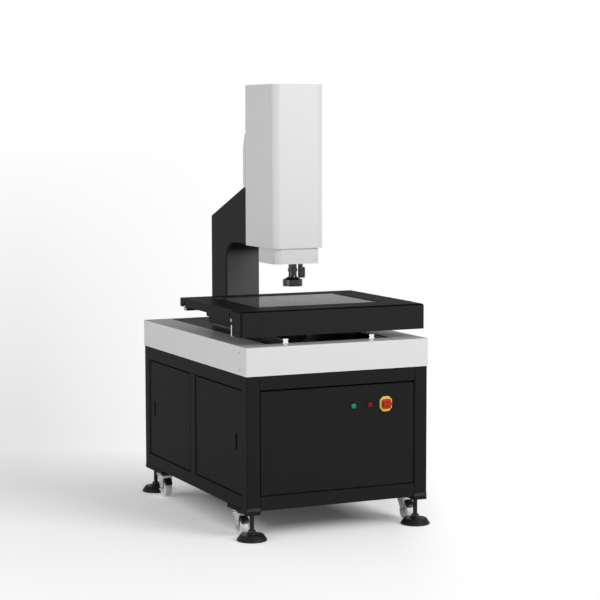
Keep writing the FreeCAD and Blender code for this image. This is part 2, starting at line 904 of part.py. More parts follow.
def rail(guide, length):
    """Guide rail along +X from the origin, foot at z = 0, with waisted flanks."""
    half = guide.rail_width / 2
    h = guide.rail_height
    n = half - rail_waist
    side = [(-half, 0), (half, 0), (half, 0.3 * h), (n, 0.45 * h), (n, 0.6 * h),
            (half, 0.75 * h), (half, h - 1), (half - 1, h)]
    mirrored = [(-a, b) for a, b in reversed(side[2:])]
    face = outline([(0, a, b) for a, b in side + mirrored])
    return face.extrude(V(length, 0, 0))


def guide_block(guide):
    """Bearing block centred on x = 0, riding over the rail."""
    half = guide.block_width / 2
    reach = guide.block_length / 2
    body = box(-reach, reach, -half, half, guide.skirt, guide.height)
    body = body.makeChamfer(block_edge, edges_along(body, V(1, 0, 0)))
    inner = guide.rail_width / 2 + block_fit
    return body.cut(box(-reach, reach, -inner, inner, 0, guide.rail_height + block_fit))


def along_y(shape, at):
    """Shape made along +X, laid along +Y and moved."""
    return placed(shape, 90, at)


def along_z(shape, at):
    """Shape made along +X with its top up, stood along +Z with its top to the front."""
    moved = shape.copy()
    moved.rotate(V(0, 0, 0), V(0, 1, 0), -90)
    moved.rotate(V(0, 0, 0), V(0, 0, 1), 90)
    moved.translate(V(*at))
    return moved


def y_rails():
    """Pair of rails on the granite."""
    rail_y = rail(large_guide, y_rail_rear - y_rail_front)
    return [along_y(rail_y, (side * y_rail_x, y_rail_front, granite_top)) for side in (-1, 1)]


def y_drive():
    """Y lead screw in two bearings, turned by the motor at its rear end."""
    front = saddle_front - y_bearing_reach
    rear = saddle_rear + y_travel + y_motor_gap
    x = y_screw_x
    z = y_screw_z
    half = bearing_width / 2
    top = z + small_screw_radius + bearing_wall
    screw = rod(small_screw_radius, (x, front, z), (x, rear, z))
    pieces = [screw]
    for y0 in (front, rear - bearing_length):
        block = box(x - half, x + half, y0, y0 + bearing_length, granite_top, top)
        pieces.append(block.cut(screw))
    m = motor_size / 2
    motor = box(x - m, x + m, rear, rear + motor_length, z - m, z + m)
    motor = rounded(motor, motor_round, V(0, 1, 0))
    wide = m + motor_flange_lip
    flange = box(x - wide, x + wide, rear, rear + motor_flange, granite_top, z + m)
    pieces.append(motor.fuse(flange).removeSplitter())
    return pieces


def y_saddle():
    """Saddle: casting with its window and screw channel, top plate and four rail carriers."""
    half = saddle_width / 2
    casting = box(-half, half, saddle_front, saddle_rear, saddle_z0, saddle_z1)
    casting = rounded(casting, casting_round, V(0, 0, 1))
    channel = box(y_screw_x - channel_width / 2, y_screw_x + channel_width / 2,
                  saddle_front, saddle_rear, saddle_z0, y_screw_z + channel_above_screw)
    window = box(-window_width / 2, window_width / 2, window_front, window_rear,
                 saddle_z0, saddle_top)
    window = rounded(window, window_round, V(0, 0, 1))
    top_half = saddle_top_width / 2
    top = box(-top_half, top_half, saddle_front, saddle_top_rear, saddle_z1, saddle_top)
    pieces = [casting.cut(window).cut(channel), top.cut(window)]
    for side in (-1, 1):
        for y0 in (saddle_front, saddle_top_rear - carrier_depth):
            pieces.append(box(side * top_half, side * carrier_width / 2,
                              y0, y0 + carrier_depth, saddle_z1, saddle_top))
    return pieces


def y_blocks():
    """Four bearing blocks under the saddle, and the nut on the Y screw."""
    made = []
    for side in (-1, 1):
        for y in (y_block_front, y_block_rear):
            made.append(along_y(guide_block(large_guide), (side * y_rail_x, y, granite_top)))
    roof = y_screw_z + channel_above_screw
    y = (y_block_front + y_block_rear) / 2
    nut = box(y_screw_x - nut_width / 2, y_screw_x + nut_width / 2, y - nut_length / 2,
              y + nut_length / 2, y_screw_z - small_screw_radius - nut_wall, roof)
    made.append(nut.cut(rod(small_screw_radius + running_clearance,
                            (y_screw_x, y - nut_length, y_screw_z),
                            (y_screw_x, y + nut_length, y_screw_z))))
    return made


def x_rails():
    """Pair of rails across the saddle, and the pads on the ends of their carriers."""
    half = carrier_width / 2
    made = []
    for y in (x_rail_front, x_rail_rear):
        piece = rail(small_guide, carrier_width)
        piece.translate(V(-half, y, saddle_top))
        made.append(piece)
    for y0 in (saddle_front, saddle_top_rear - carrier_depth):
        middle = y0 + carrier_depth / 2
        for side in (-1, 1):
            made.append(box(side * half, side * (half + end_pad_thickness),
                            middle - end_pad_width / 2, middle + end_pad_width / 2,
                            saddle_z1, saddle_z1 + end_pad_height))
    return made


def x_drive():
    """X lead screw along the saddle's rear face, its bearings and motor."""
    y = x_screw_y
    z = x_screw_z
    reach = small_screw_radius + bearing_wall
    screw = rod(small_screw_radius, (-x_screw_half, y, z), (x_screw_half, y, z))
    pieces = [screw]
    for x0 in (-x_screw_half, x_screw_half - bearing_length):
        block = box(x0, x0 + bearing_length, saddle_rear, y + reach, z - reach, z + reach)
        pieces.append(block.cut(screw))
    m = x_motor_size / 2
    motor = box(x_screw_half, x_screw_half + motor_length, y - m, y + m, z - m, z + m)
    pieces.append(rounded(motor, x_motor_round, V(1, 0, 0)))
    return pieces


# Stage

def clip_space(side, y, room):
    """Space of one glass clip, across the glass edge, with room round it."""
    edge = glass_width / 2
    return box(side * (edge - clip_over_glass - room), side * (edge + clip_over_table + room),
               y - clip_length / 2 - room, y + clip_length / 2 + room,
               glass_top - clip_height, stage_top)


def stage_skin():
    """Top plate of the table, with the hole for the glass and two small clip pockets."""
    half = stage_width / 2
    skin = box(-half, half, apron_rear, stage_rear, skin_z0, stage_top)
    skin = rounded(skin, casting_round, V(0, 0, 1), lambda m: m.y > 0)
    g = glass_width / 2 + glass_fit
    skin = skin.cut(box(-g, g, glass_front - glass_fit, glass_rear + glass_fit,
                        skin_z0, stage_top))
    for side, y in clip_places:
        skin = skin.cut(clip_space(side, y, clip_room))
    return skin


def stage_walls():
    """Walls under the top plate, the side ones notched for the X rails."""
    half = stage_width / 2
    w = stage_wall
    front = box(-half, half, apron_rear, apron_rear + w, stage_z0, skin_z0)
    rear = box(-half, half, stage_rear - w, stage_rear, stage_z0, skin_z0)
    made = [front, rounded(rear, casting_round, V(0, 0, 1), lambda m: m.y > stage_rear - 1)]
    notch = small_guide.rail_width / 2 + rail_notch_gap
    roof = saddle_top + small_guide.rail_height + rail_notch_gap
    for side in (-1, 1):
        wall = box(side * (half - w), side * half, apron_rear + w, stage_rear - w,
                   stage_z0, skin_z0)
        for y in (x_rail_front, x_rail_rear):
            wall = wall.cut(box(side * (half - w), side * half, y - notch, y + notch,
                                stage_z0, roof))
        made.append(wall)
    return made


def glass_frame():
    """Frame under the table that holds the glass on its ledge."""
    g = glass_width / 2 + glass_fit
    y0 = glass_front - glass_fit
    y1 = glass_rear + glass_fit
    seat = glass_top - glass_thickness
    low = seat - glass_ledge_thickness
    rim = stage_wall
    frame = box(-g - rim, g + rim, y0, y1, low, skin_z0)
    frame = frame.cut(box(-g, g, y0, y1, seat, skin_z0))
    e = glass_ledge
    return frame.cut(box(-g + e, g - e, glass_front + e, glass_rear - e, low, seat))


def stage_blocks():
    """Four bearing blocks under the stage."""
    made = []
    for side in (-1, 1):
        for y in (x_rail_front, x_rail_rear):
            block = guide_block(small_guide)
            block.translate(V(side * x_block_spacing / 2, y, saddle_top))
            made.append(block)
    return made


def x_nut_arm():
    """Arm that reaches down behind the saddle to hold the X nut."""
    r = small_screw_radius
    half = nut_arm_width / 2
    upright = box(-half, half, saddle_top_rear + nut_arm_gap, stage_rear - stage_wall,
                  saddle_z1 + nut_arm_gap, skin_z0)
    nut = box(-half, half, saddle_rear + nut_arm_gap, x_screw_y + r + nut_wall,
              x_screw_z - r - nut_wall, saddle_top)
    bore = rod(r + running_clearance, (-half, x_screw_y, x_screw_z), (half, x_screw_y, x_screw_z))
    return upright.fuse(nut).cut(bore).removeSplitter()


def stage_apron():
    """Deep front cover of the stage: top, front and ends of one folded sheet."""
    half = apron_half
    bottom = stage_top - apron_height
    cover = box(-half, half, apron_front, apron_rear, bottom, stage_top)
    front_corners = edges_along(cover, V(0, 0, 1), lambda m: m.y < apron_front + 1)
    cover = cover.makeFillet(apron_corner, front_corners)
    nose = [e for e in cover.Edges
            if abs(e.CenterOfMass.z - stage_top) < 1e-6 and e.CenterOfMass.y < apron_rear - 1]
    cover = cover.makeFillet(apron_nose, nose)
    w = apron_wall
    hollow = box(-half + w, half - w, apron_front + w, apron_rear, bottom, stage_top - w)
    inner_corners = edges_along(hollow, V(0, 0, 1), lambda m: m.y < apron_front + w + 1)
    hollow = hollow.makeFillet(apron_corner - w, inner_corners)
    inner_nose = [e for e in hollow.Edges
                  if abs(e.CenterOfMass.z - (stage_top - w)) < 1e-6
                  and e.CenterOfMass.y < apron_rear - 1]
    hollow = hollow.makeFillet(apron_nose - w, inner_nose)
    return cover.cut(hollow)


def stage_glass():
    """Clear glass plate with eased upper edges, recessed under its two clips."""
    half = glass_width / 2
    glass = box(-half, half, glass_front, glass_rear, glass_top - glass_thickness, glass_top)
    rim = [e for e in glass.Edges if abs(e.CenterOfMass.z - glass_top) < 1e-6]
    glass = glass.makeChamfer(glass_edge, rim)
    for side, y in clip_places:
        glass = glass.cut(clip_space(side, y, clip_room))
    return glass


def stage_fittings():
    """Flush glass clips, and the bare bracket behind the apron's left end."""
    above = box(-stage_width, stage_width, apron_rear, stage_rear, glass_top, stage_top)
    made = [clip_space(side, y, 0).cut(above) for side, y in clip_places]
    left = -apron_half
    low = stage_top - apron_height - bracket_below_apron
    made.append(box(left, left + bracket_width, apron_rear, apron_rear + bracket_depth,
                    low, low + bracket_height))
    return made


def backlight():
    """Round transmitted-light lamp standing on the granite below the lens."""
    top = granite_top + backlight_height
    base = granite_top + backlight_base_height
    lens = top + backlight_lens_height
    return turned([(0, granite_top), (backlight_base_radius, granite_top),
                   (backlight_base_radius, base),
                   (backlight_radius, base + backlight_base_edge),
                   (backlight_radius, top - backlight_edge_height),
                   (backlight_radius - backlight_edge, top),
                   (backlight_lens_radius, top),
                   (backlight_lens_radius, top + backlight_lens_rim),
                   (backlight_lens_radius - backlight_lens_edge, lens),
                   (0, lens)], 0, lens_y)


# Column and head

def column():
    """Column and forward arm in one piece, with the large curve of the throat."""
    arm_top = arm_under + arm_height
    r = throat_radius
    half = column_width / 2
    middle = math.sqrt(0.5)
    a = V(-half, column_front, granite_top)
    b = V(-half, column_front, arm_under - r)
    bend = V(-half, column_front - r + r * middle, arm_under - r + r * middle)
    c = V(-half, column_front - r, arm_under)
    d = V(-half, head_inner_rear, arm_under)
    e = V(-half, head_inner_rear, arm_top)
    f = V(-half, arm_flat_rear, arm_top)
    g = V(-half, column_rear, column_rear_top)
    h = V(-half, column_rear, granite_top)
    wire = Part.Wire([Part.makeLine(a, b), Part.Arc(b, bend, c).toShape(), Part.makeLine(c, d),
                      Part.makeLine(d, e), Part.makeLine(e, f), Part.makeLine(f, g),
                      Part.makeLine(g, h), Part.makeLine(h, a)])
    body = Part.Face(wire).extrude(V(column_width, 0, 0))
    return rounded(body, column_edge_round, V(0, 0, 1), lambda m: m.z < arm_under)


def head_cover():
    """White housing of the Z axis, open below and slotted behind for the arm."""
    half = head_width / 2
    s = head_sheet

    def shell(inset, bottom, top):
        solid = box(-half + inset, half - inset, head_front + inset, head_rear - inset,
                    bottom, top)
        front = edges_along(solid, V(0, 0, 1), lambda m: m.y < 0)
        solid = solid.makeFillet(head_front_round - inset, front)
        back = edges_along(solid, V(0, 0, 1), lambda m: m.y > 0)
        return solid.makeFillet(max(head_edge_round - inset, 0.5), back)

    cover = shell(0, head_bottom, head_top)
    cover = cover.cut(shell(s, head_bottom, head_top - s))
    arm = column_width / 2 + 1
    return cover.cut(box(-arm, arm, head_inner_rear - 1, head_rear, head_bottom,
                         arm_under + arm_height + seam))


def head_rear_cover():
    """Box-shaped cover behind the housing, sloped at its top."""
    half = head_width / 2
    z0 = arm_under + arm_height + seam
    z1 = z0 + bump_height
    rear = head_rear + bump_depth

    def profile(inset, x):
        points = [(x, head_rear, z0 + inset), (x, rear - inset, z0 + inset),
                  (x, rear - inset, z1 - bump_chamfer_drop),
                  (x, rear - bump_chamfer_reach, z1 - inset), (x, head_rear, z1 - inset)]
        return outline(points)

    cover = profile(0, -half).extrude(V(head_width, 0, 0))
    s = head_sheet
    return cover.cut(profile(s, -half + s).extrude(V(head_width - 2 * s, 0, 0)))


def z_back_plate():
    """Steel plate bolted to the arm, and the bored bracket of the Z motor."""
    half = back_plate_width / 2
    plate = box(-half, half, plate_front, head_inner_rear,
                back_plate_bottom, back_plate_bottom + back_plate_height)
    m = z_motor_size / 2
    z1 = z_motor_bottom
    bracket = box(-m, m, z_screw_y - m, plate_front, z1 - z_bracket_thickness, z1)
    bore = rod(screw_radius + nut_arm_gap, (0, z_screw_y, z1 - z_bracket_thickness),
               (0, z_screw_y, z1))
    return [plate, bracket.cut(bore)]


def z_rails():
    """Pair of upright rails on the back plate."""
    piece = rail(small_guide, z_rail_length)
    return [along_z(piece, (side * z_rail_x, plate_front, z_rail_bottom)) for side in (-1, 1)]


def z_drive():
    """Z lead screw and the motor on its bracket."""
    m = z_motor_size / 2
    z0 = z_motor_bottom
    motor = box(-m, m, z_screw_y - m, z_screw_y + m, z0, z0 + z_motor_length)
    motor = rounded(motor, z_motor_round, V(0, 0, 1))
    motor = motor.cut(box(-m, m, plate_front, head_rear, z0, z0 + z_motor_length))
    screw = rod(screw_radius, (0, z_screw_y, z_rail_bottom + z_screw_above_rail),
                (0, z_screw_y, z0))
    return [motor, screw]


def z_slide():
    """Sliding plate with its side wings, and the clamp arm that holds the lens."""
    half = slide_width / 2
    made = [box(-half, half, slide_front, slide_rear, slide_bottom, slide_bottom + slide_height)]
    outer = shroud_width / 2 - shroud_sheet
    wing_top = shroud_bottom + shroud_height - wing_below_shroud_top
    for side in (-1, 1):
        made.append(box(side * half, side * outer, slide_front, slide_rear,
                        slide_bottom, wing_top))
        made.append(box(side * (outer - wing_thickness), side * outer,
                        slide_front - wing_reach, slide_front, slide_bottom, wing_top))
    w = lens_bracket_width / 2
    z0 = lens_bracket_bottom
    z1 = z0 + lens_bracket_height
    arm = box(-w, w, lens_y - lens_bracket_nose, slide_rear, z0, z1)
    arm = rounded(arm, lens_bracket_round, V(0, 0, 1), lambda m: m.y < lens_y)
    made.append(arm.cut(rod(lens_radius + running_clearance, (0, lens_y, z0), (0, lens_y, z1))))
    made.append(box(-w, w, slide_front, slide_rear, z1, slide_bottom))
    web = lens_web_width / 2
    made.append(box(-web, web, slide_front - lens_web_reach, slide_front, z1,
                    z1 + lens_web_height))
    return made


def z_blocks():
    """Four bearing blocks behind the slide, and the nut on the Z screw."""
    made = []
    for side in (-1, 1):
        for z in (z_block_low, z_block_low + z_block_spacing):
            made.append(along_z(guide_block(small_guide), (side * z_rail_x, plate_front, z)))
    z = z_block_low + z_block_spacing / 2
    half = nut_width / 2
    nut = box(-half, half, slide_rear, z_screw_y + screw_radius + nut_arm_gap, z - nut_length / 2,
              z + nut_length / 2)
    made.append(nut.cut(rod(screw_radius + running_clearance, (0, z_screw_y, z - nut_length),
                            (0, z_screw_y, z + nut_length))))
    return made


def lower_shroud():
    """White sleeve round the optics that slides up into the housing."""
    half = shroud_width / 2
    top = shroud_bottom + shroud_height
    s = shroud_sheet

    def sleeve(inset, bottom):
        solid = box(-half + inset, half - inset, shroud_front + inset, shroud_rear, bottom, top)
        front = edges_along(solid, V(0, 0, 1), lambda m: m.y < shroud_front + inset + 1)
        return solid.makeFillet(shroud_round - inset, front)

    shroud = sleeve(0, shroud_bottom).cut(sleeve(s, shroud_bottom + s))
    w = shroud_hole_width / 2
    middle = lens_y + shroud_hole_back
    hole = box(-w, w, middle - shroud_hole_depth / 2, middle + shroud_hole_depth / 2,
               shroud_bottom, shroud_bottom + s)
    return shroud.cut(rounded(hole, shroud_hole_round, V(0, 0, 1)))


def lens_tube():
    """Zoom lens body with its collars."""
    z0 = ring_top + ring_cone_height
    collar = ring_bottom + lens_collar_above_ring
    r = lens_radius
    c = lens_collar_radius
    e = lens_collar_edge
    return turned([(0, z0), (ring_cone_top_radius - ring_roof, z0), (r, z0 + lens_lead_in),
                   (r, collar), (c, collar + e), (c, collar + lens_collar_height),
                   (r, collar + lens_collar_height + e), (r, lens_top), (0, lens_top)],
                  0, lens_y)


def ring_light():
    """Ring lamp with its conical adapter."""
    z1 = ring_top + ring_cone_height
    e = ring_edge
    roof = z1 - ring_roof
    return turned([(ring_bore, ring_bottom), (ring_radius - e, ring_bottom),
                   (ring_radius, ring_bottom + e), (ring_radius, ring_top - e),
                   (ring_radius - e, ring_top), (ring_cone_radius, ring_top),
                   (ring_cone_top_radius, z1), (0, z1), (0, roof), (ring_bore - ring_roof, roof)],
                  0, lens_y)


def side_light():
    """Upright lamp housing beside the lens, with its ribbed grip."""
    x = side_unit_x
    z0 = ring_top
    y = lens_y + side_unit_y
    stem = rod(side_unit_radius, (x, y, z0), (x, y, z0 + side_unit_height))
    g0 = z0 + side_grip_low
    grip = rod(side_grip_radius, (side_grip_x, lens_y + side_grip_y, g0),
               (side_grip_x, lens_y + side_grip_y, g0 + side_grip_height))
    grip = grip.makeChamfer(side_grip_edge, [e for e in grip.Edges if isinstance(e.Curve, Part.Circle)])
    body = stem.fuse(grip)
    keep_out = rod(lens_collar_radius + seam, (0, lens_y, z0), (0, lens_y, z0 + side_unit_height))
    cone = rod(ring_cone_radius + seam, (0, lens_y, z0), (0, lens_y, z0 + ring_cone_height))
    return body.cut(keep_out).cut(cone)


def camera():
    """Camera on top of the lens, with cooling fins."""
    half = camera_size / 2
    body = box(-half, half, lens_y - half, lens_y + half, lens_top, lens_top + camera_height)
    body = rounded(body, camera_edge, V(0, 0, 1))
    pitch = camera_height / (camera_fin_count + 1)
    for i in range(1, camera_fin_count):
        z = lens_top + i * pitch
        for side in (-1, 1):
            body = body.cut(box(side * (half - camera_fin_depth), side * half,
                                lens_y - half, lens_y + half, z, z + pitch / 2))
    return body


def build():
    """Make every piece and save it."""
    os.makedirs("parts", exist_ok=True)
    write("cabinet_frame", *cabinet_frame())
    write("cabinet_floor", *cabinet_floor())
    write("corner_plates", *corner_plates())
    write("front_panel", front_panel())
    write("back_panel", back_panel())
    write("hinge_pins", *hinge_pins())
    write("control_box", control_box())
    write("button_bezels", *button_bezels())
    write("switch_plate", switch_plate())
    write("switch_knob", switch_knob())
    write("green_button", button_cap(green_x))
    write("red_button", button_cap(red_x))
    write("caster_tops", *caster_tops())
    for name, solid in doors().items():
        write(name, solid)
    for name, (sx, sy) in CORNERS.items():
        x = sx * caster_x
        y = sy * caster_y
        write("foot_" + name, *foot(sx, sy))
        write("caster_fork_" + name, *caster_fork(x, y))
        write("caster_wheel_" + name, caster_wheel(x, y))
        write("caster_pedal_" + name, caster_pedal(x, y))
    front, main = skirt_pieces()
    write("skirt_front", front)
    write("skirt_cover", main)
    write("granite_base", granite_base())
    write("skirt_screws", *skirt_screws())
    write("column", column())
    write("y_rails", *y_rails())
    write("y_drive", *y_drive())
    write("y_saddle", *y_saddle())
    write("y_blocks", *y_blocks())
    write("x_rails", *x_rails())
    write("x_drive", *x_drive())
    write("stage_plate", stage_skin(), glass_frame(), x_nut_arm(), *stage_walls(),
          *stage_blocks())
    write("stage_apron", stage_apron())
    write("stage_glass", stage_glass())
    write("stage_fittings", *stage_fittings())
    write("backlight", backlight())
    write("head_cover", head_cover())
    write("head_rear_cover", head_rear_cover())
    write("z_back_plate", *z_back_plate())
    write("z_rails", *z_rails())
    write("z_drive", *z_drive())
    write("z_slide", *z_slide(), *z_blocks())
    write("lower_shroud", lower_shroud())
    write("lens_tube", lens_tube())
    write("ring_light", ring_light())
    write("side_light", side_light())
    write("camera", camera())


build()
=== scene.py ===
"""Looks of a vision measuring machine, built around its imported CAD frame.

The machine is a moving glass stage on a granite base, under a camera head on a
column, all carried by a steel cabinet with levelling feet and casters. Lengths
are metres, +Z is up and the operator stands on the -Y side.
"""

import json
import logging
import math
from dataclasses import dataclass, field
from enum import Enum
from typing import Sequence

import bmesh
import bpy
from mathutils import Matrix, Vector


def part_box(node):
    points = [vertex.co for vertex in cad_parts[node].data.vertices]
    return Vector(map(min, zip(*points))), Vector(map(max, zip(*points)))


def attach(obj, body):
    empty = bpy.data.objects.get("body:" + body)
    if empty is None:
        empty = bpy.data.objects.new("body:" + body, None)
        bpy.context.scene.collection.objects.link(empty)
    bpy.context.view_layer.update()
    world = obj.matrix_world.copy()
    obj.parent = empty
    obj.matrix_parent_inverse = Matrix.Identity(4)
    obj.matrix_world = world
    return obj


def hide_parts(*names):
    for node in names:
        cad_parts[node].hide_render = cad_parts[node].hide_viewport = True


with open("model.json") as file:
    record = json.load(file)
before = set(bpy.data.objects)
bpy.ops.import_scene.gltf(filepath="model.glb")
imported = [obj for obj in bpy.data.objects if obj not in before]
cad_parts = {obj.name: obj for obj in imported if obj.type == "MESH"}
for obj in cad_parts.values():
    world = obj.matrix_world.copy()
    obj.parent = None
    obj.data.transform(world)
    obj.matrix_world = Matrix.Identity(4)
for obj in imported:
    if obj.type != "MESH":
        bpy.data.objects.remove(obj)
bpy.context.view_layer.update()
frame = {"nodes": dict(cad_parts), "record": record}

LOG = logging.getLogger("measuring_machine")

Color = tuple[float, float, float]
Pair = tuple[float, float]

DUST: Color = (0.6, 0.59, 0.57)
WHITE: Color = (1.0, 1.0, 1.0)


class Axis(Enum):
    """Direction along which a turned form is built."""

    X = "x"
    Y = "y"
    Z = "z"

    def turn(self) -> Matrix:
        """Rotation that lays local +Z along this axis."""
        quarter = math.radians(90)
        turns = {
            Axis.X: Matrix.Rotation(quarter, 4, "Y"),
            Axis.Y: Matrix.Rotation(-quarter, 4, "X"),
            Axis.Z: Matrix.Identity(4),
        }
        return turns[self]


class Corner(Enum):
    """The four corners of the cabinet, as signs of x and y."""

    FRONT_LEFT = (-1, -1)
    FRONT_RIGHT = (1, -1)
    REAR_LEFT = (-1, 1)
    REAR_RIGHT = (1, 1)

    @property
    def tag(self) -> str:
        """Ending of the names of this corner's nodes."""
        return self.name.lower()


def middle(node: str) -> Vector:
    """Centre of a CAD node's box at rest."""
    low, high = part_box(node)
    return (low + high) / 2


# Mesh building


class Solid:
    """Geometry of one piece, gathered from simple closed forms."""

    SHARP = math.radians(34)

    def __init__(self) -> None:
        """Start with nothing."""
        self.bm = bmesh.new()

    def take(self, part: bmesh.types.BMesh, place: Matrix | None = None) -> "Solid":
        """Add a finished form to the piece.

        Args:
            part: the form, which is freed.
            place: where it goes, or None to leave it where it is.

        Returns:
            This piece, so that calls can be chained.
        """
        if place is not None:
            bmesh.ops.transform(part, matrix=place, verts=part.verts)
        bmesh.ops.recalc_face_normals(part, faces=part.faces)
        scratch = bpy.data.meshes.new("scratch")
        part.to_mesh(scratch)
        part.free()
        self.bm.from_mesh(scratch)
        bpy.data.meshes.remove(scratch)
        return self

    def turned(self, profile: Sequence[Pair], at: Sequence[float], axis: Axis = Axis.Z,
               steps: int = 48, closed: bool = False) -> "Solid":
        """Add a form turned about an axis.

        Args:
            profile: (radius, height) pairs in order along the section.
            at: the point on the axis from which heights are counted.
            axis: the axis of turning.
            steps: segments round the axis.
            closed: whether the last pair joins the first, as in a tube.

        Returns:
            This piece.
        """
        part = bmesh.new()
        rings = []
        for radius, height in profile:
            if radius < 1e-7:
                rings.append([part.verts.new((0, 0, height))])
                continue
            ring = []
            for i in range(steps):
                a = 2 * math.pi * i / steps
                ring.append(part.verts.new((radius * math.cos(a), radius * math.sin(a), height)))
            rings.append(ring)
        pairs = list(zip(rings, rings[1:]))
        if closed:
            pairs.append((rings[-1], rings[0]))
        for one, two in pairs:
            for i in range(steps):
                j = (i + 1) % steps
                if len(one) > 1 and len(two) > 1:
                    part.faces.new((one[i], one[j], two[j], two[i]))
                elif len(one) > 1:
                    part.faces.new((one[i], one[j], two[0]))
                elif len(two) > 1:
                    part.faces.new((one[0], two[j], two[i]))
        return self.take(part, Matrix.Translation(Vector(at)) @ axis.turn())

    def plate(self, outer: Sequence[Sequence[float]], along: Sequence[float],
              holes: Sequence[Sequence[Sequence[float]]] = (), bevel: float = 0.0,
              segments: int = 2) -> "Solid":
        """Add a flat outline, drawn out along a vector.

        Args:
            outer: points of the outline, all in one plane.
            along: how far and in which direction it is drawn out.
            holes: outlines of holes through it.
            bevel: size of the rounding on its rims.
            segments: faces across a rounding.

        Returns:
            This piece.
        """
        part = bmesh.new()
        edges = []
        for loop in (outer, *holes):
            verts = [part.verts.new(p) for p in loop]
            for i, vert in enumerate(verts):
                edges.append(part.edges.new((vert, verts[(i + 1) % len(verts)])))
        if holes:
            bmesh.ops.triangle_fill(part, edges=edges, use_beauty=True)
        else:
            part.faces.new(list(part.verts))
        made = bmesh.ops.extrude_face_region(part, geom=list(part.faces), use_keep_orig=True)
        moved = [g for g in made["geom"] if isinstance(g, bmesh.types.BMVert)]
        bmesh.ops.translate(part, vec=Vector(along), verts=moved)
        bmesh.ops.recalc_face_normals(part, faces=part.faces)
        if bevel:
            self.soften(part, bevel, segments)
        return self.take(part)

    def block(self, low: Sequence[float], high: Sequence[float], bevel: float = 0.0,
              segments: int = 2) -> "Solid":
        """Add a block between two corners, with rounded edges."""
        part = bmesh.new()
        bmesh.ops.create_cube(part, size=1)
        low, high = Vector(low), Vector(high)
        size = high - low
        bmesh.ops.scale(part, vec=size, verts=part.verts)
        bmesh.ops.translate(part, vec=(low + high) / 2, verts=part.verts)
        if bevel:
            self.soften(part, min(bevel, 0.45 * min(size)), segments)
        return self.take(part)

    def ribbed(self, radius: float, depth: float, count: int, span: Pair,
               at: Sequence[float], axis: Axis = Axis.Z) -> "Solid":
        """Add a disc whose rim has ribs along the axis.

        Args:
            radius: radius over the ribs.
            depth: depth of the grooves.
            count: how many ribs.
            span: lower and upper height.
            at: the point on the axis from which heights are counted.
            axis: the axis of the disc.

        Returns:
            This piece.
        """
        part = bmesh.new()
        rings = []
        for height in span:
            ring = []
            for i in range(4 * count):
                a = 2 * math.pi * (i + 0.5) / (4 * count)
                r = radius if i % 4 < 2 else radius - depth
                ring.append(part.verts.new((r * math.cos(a), r * math.sin(a), height)))
            rings.append(ring)
        total = len(rings[0])
        for i in range(total):
            j = (i + 1) % total
            part.faces.new((rings[0][i], rings[0][j], rings[1][j], rings[1][i]))
        for ring in rings:
            part.faces.new(ring)
        return self.take(part, Matrix.Translation(Vector(at)) @ axis.turn())

    def hexagon(self, at: Sequence[float], across: float, height: float,
                axis: Axis = Axis.Z) -> "Solid":
        """Add a hexagon nut or bolt head with chamfered ends.

        Args:
            at: centre of its lower face.
            across: width across the flats.
            height: height along the axis.
            axis: the axis of the hexagon.

        Returns:
            This piece.
        """
        part = bmesh.new()
        steps = 36
        flat = across / 2
        lip = 0.09 * across
        rings = []
        for z, chamfered in ((0, True), (lip, False), (height - lip, False), (height, True)):
            ring = []
            for i in range(steps):
                a = 2 * math.pi * i / steps
                r = flat / math.cos((a % math.radians(60)) - math.radians(30))
                r = min(r, 1.02 * flat) if chamfered else r
                ring.append(part.verts.new((r * math.cos(a), r * math.sin(a), z)))
            rings.append(ring)
        for one, two in zip(rings, rings[1:]):
            for i in range(steps):
                j = (i + 1) % steps
                part.faces.new((one[i], one[j], two[j], two[i]))
        part.faces.new(rings[0])
        part.faces.new(rings[-1])
        return self.take(part, Matrix.Translation(Vector(at)) @ axis.turn())

    def socket_screw(self, at: Sequence[float], out: Sequence[float], radius: float,
                     height: float) -> "Solid":
        """Add a button-head screw with a hexagonal socket.

        Args:
            at: centre of the head's seat.
            out: direction in which the head points.
            radius: radius of the head.
            height: height of the head.

        Returns:
            This piece.
        """
        part = bmesh.new()
        steps = 24
        hexagon = 0.5 * radius

        def circle(r: float, z: float) -> list[bmesh.types.BMVert]:
            """Ring of points at one height."""
            ring = []
            for i in range(steps):
                a = 2 * math.pi * i / steps
                ring.append(part.verts.new((r * math.cos(a), r * math.sin(a), z)))
            return ring

        def socket(z: float) -> list[bmesh.types.BMVert]:
            """Hexagon with as many points as the rings."""
            ring = []
            for i in range(steps):
                side, share = divmod(i, 4)
                a = math.radians(60 * side)
                b = math.radians(60 * (side + 1))
                one = Vector((math.cos(a), math.sin(a)))
                two = Vector((math.cos(b), math.sin(b)))
                point = one.lerp(two, share / 4) * hexagon
                ring.append(part.verts.new((point.x, point.y, z)))
            return ring

        rings = [circle(radius, 0), circle(radius, 0.35 * height), circle(0.88 * radius, 0.75 * height),
                 circle(0.68 * radius, height), socket(height), socket(0.3 * height)]
        for one, two in zip(rings, rings[1:]):
            for i in range(steps):
                j = (i + 1) % steps
                part.faces.new((one[i], one[j], two[j], two[i]))
        part.faces.new(rings[-1])
        part.faces.new(rings[0])
        turn = Vector(out).to_track_quat("Z", "Y").to_matrix().to_4x4()
        return self.take(part, Matrix.Translation(Vector(at)) @ turn)

    @staticmethod
    def soften(part: bmesh.types.BMesh, size: float, segments: int) -> None:
        """Round the sharp edges of a form."""
        part.normal_update()
        sharp = [e for e in part.edges
                 if len(e.link_faces) == 2 and e.calc_face_angle() > math.radians(40)]
        bmesh.ops.bevel(part, geom=sharp, offset=size, segments=segments, profile=0.5,
                        affect="EDGES", clamp_overlap=True)

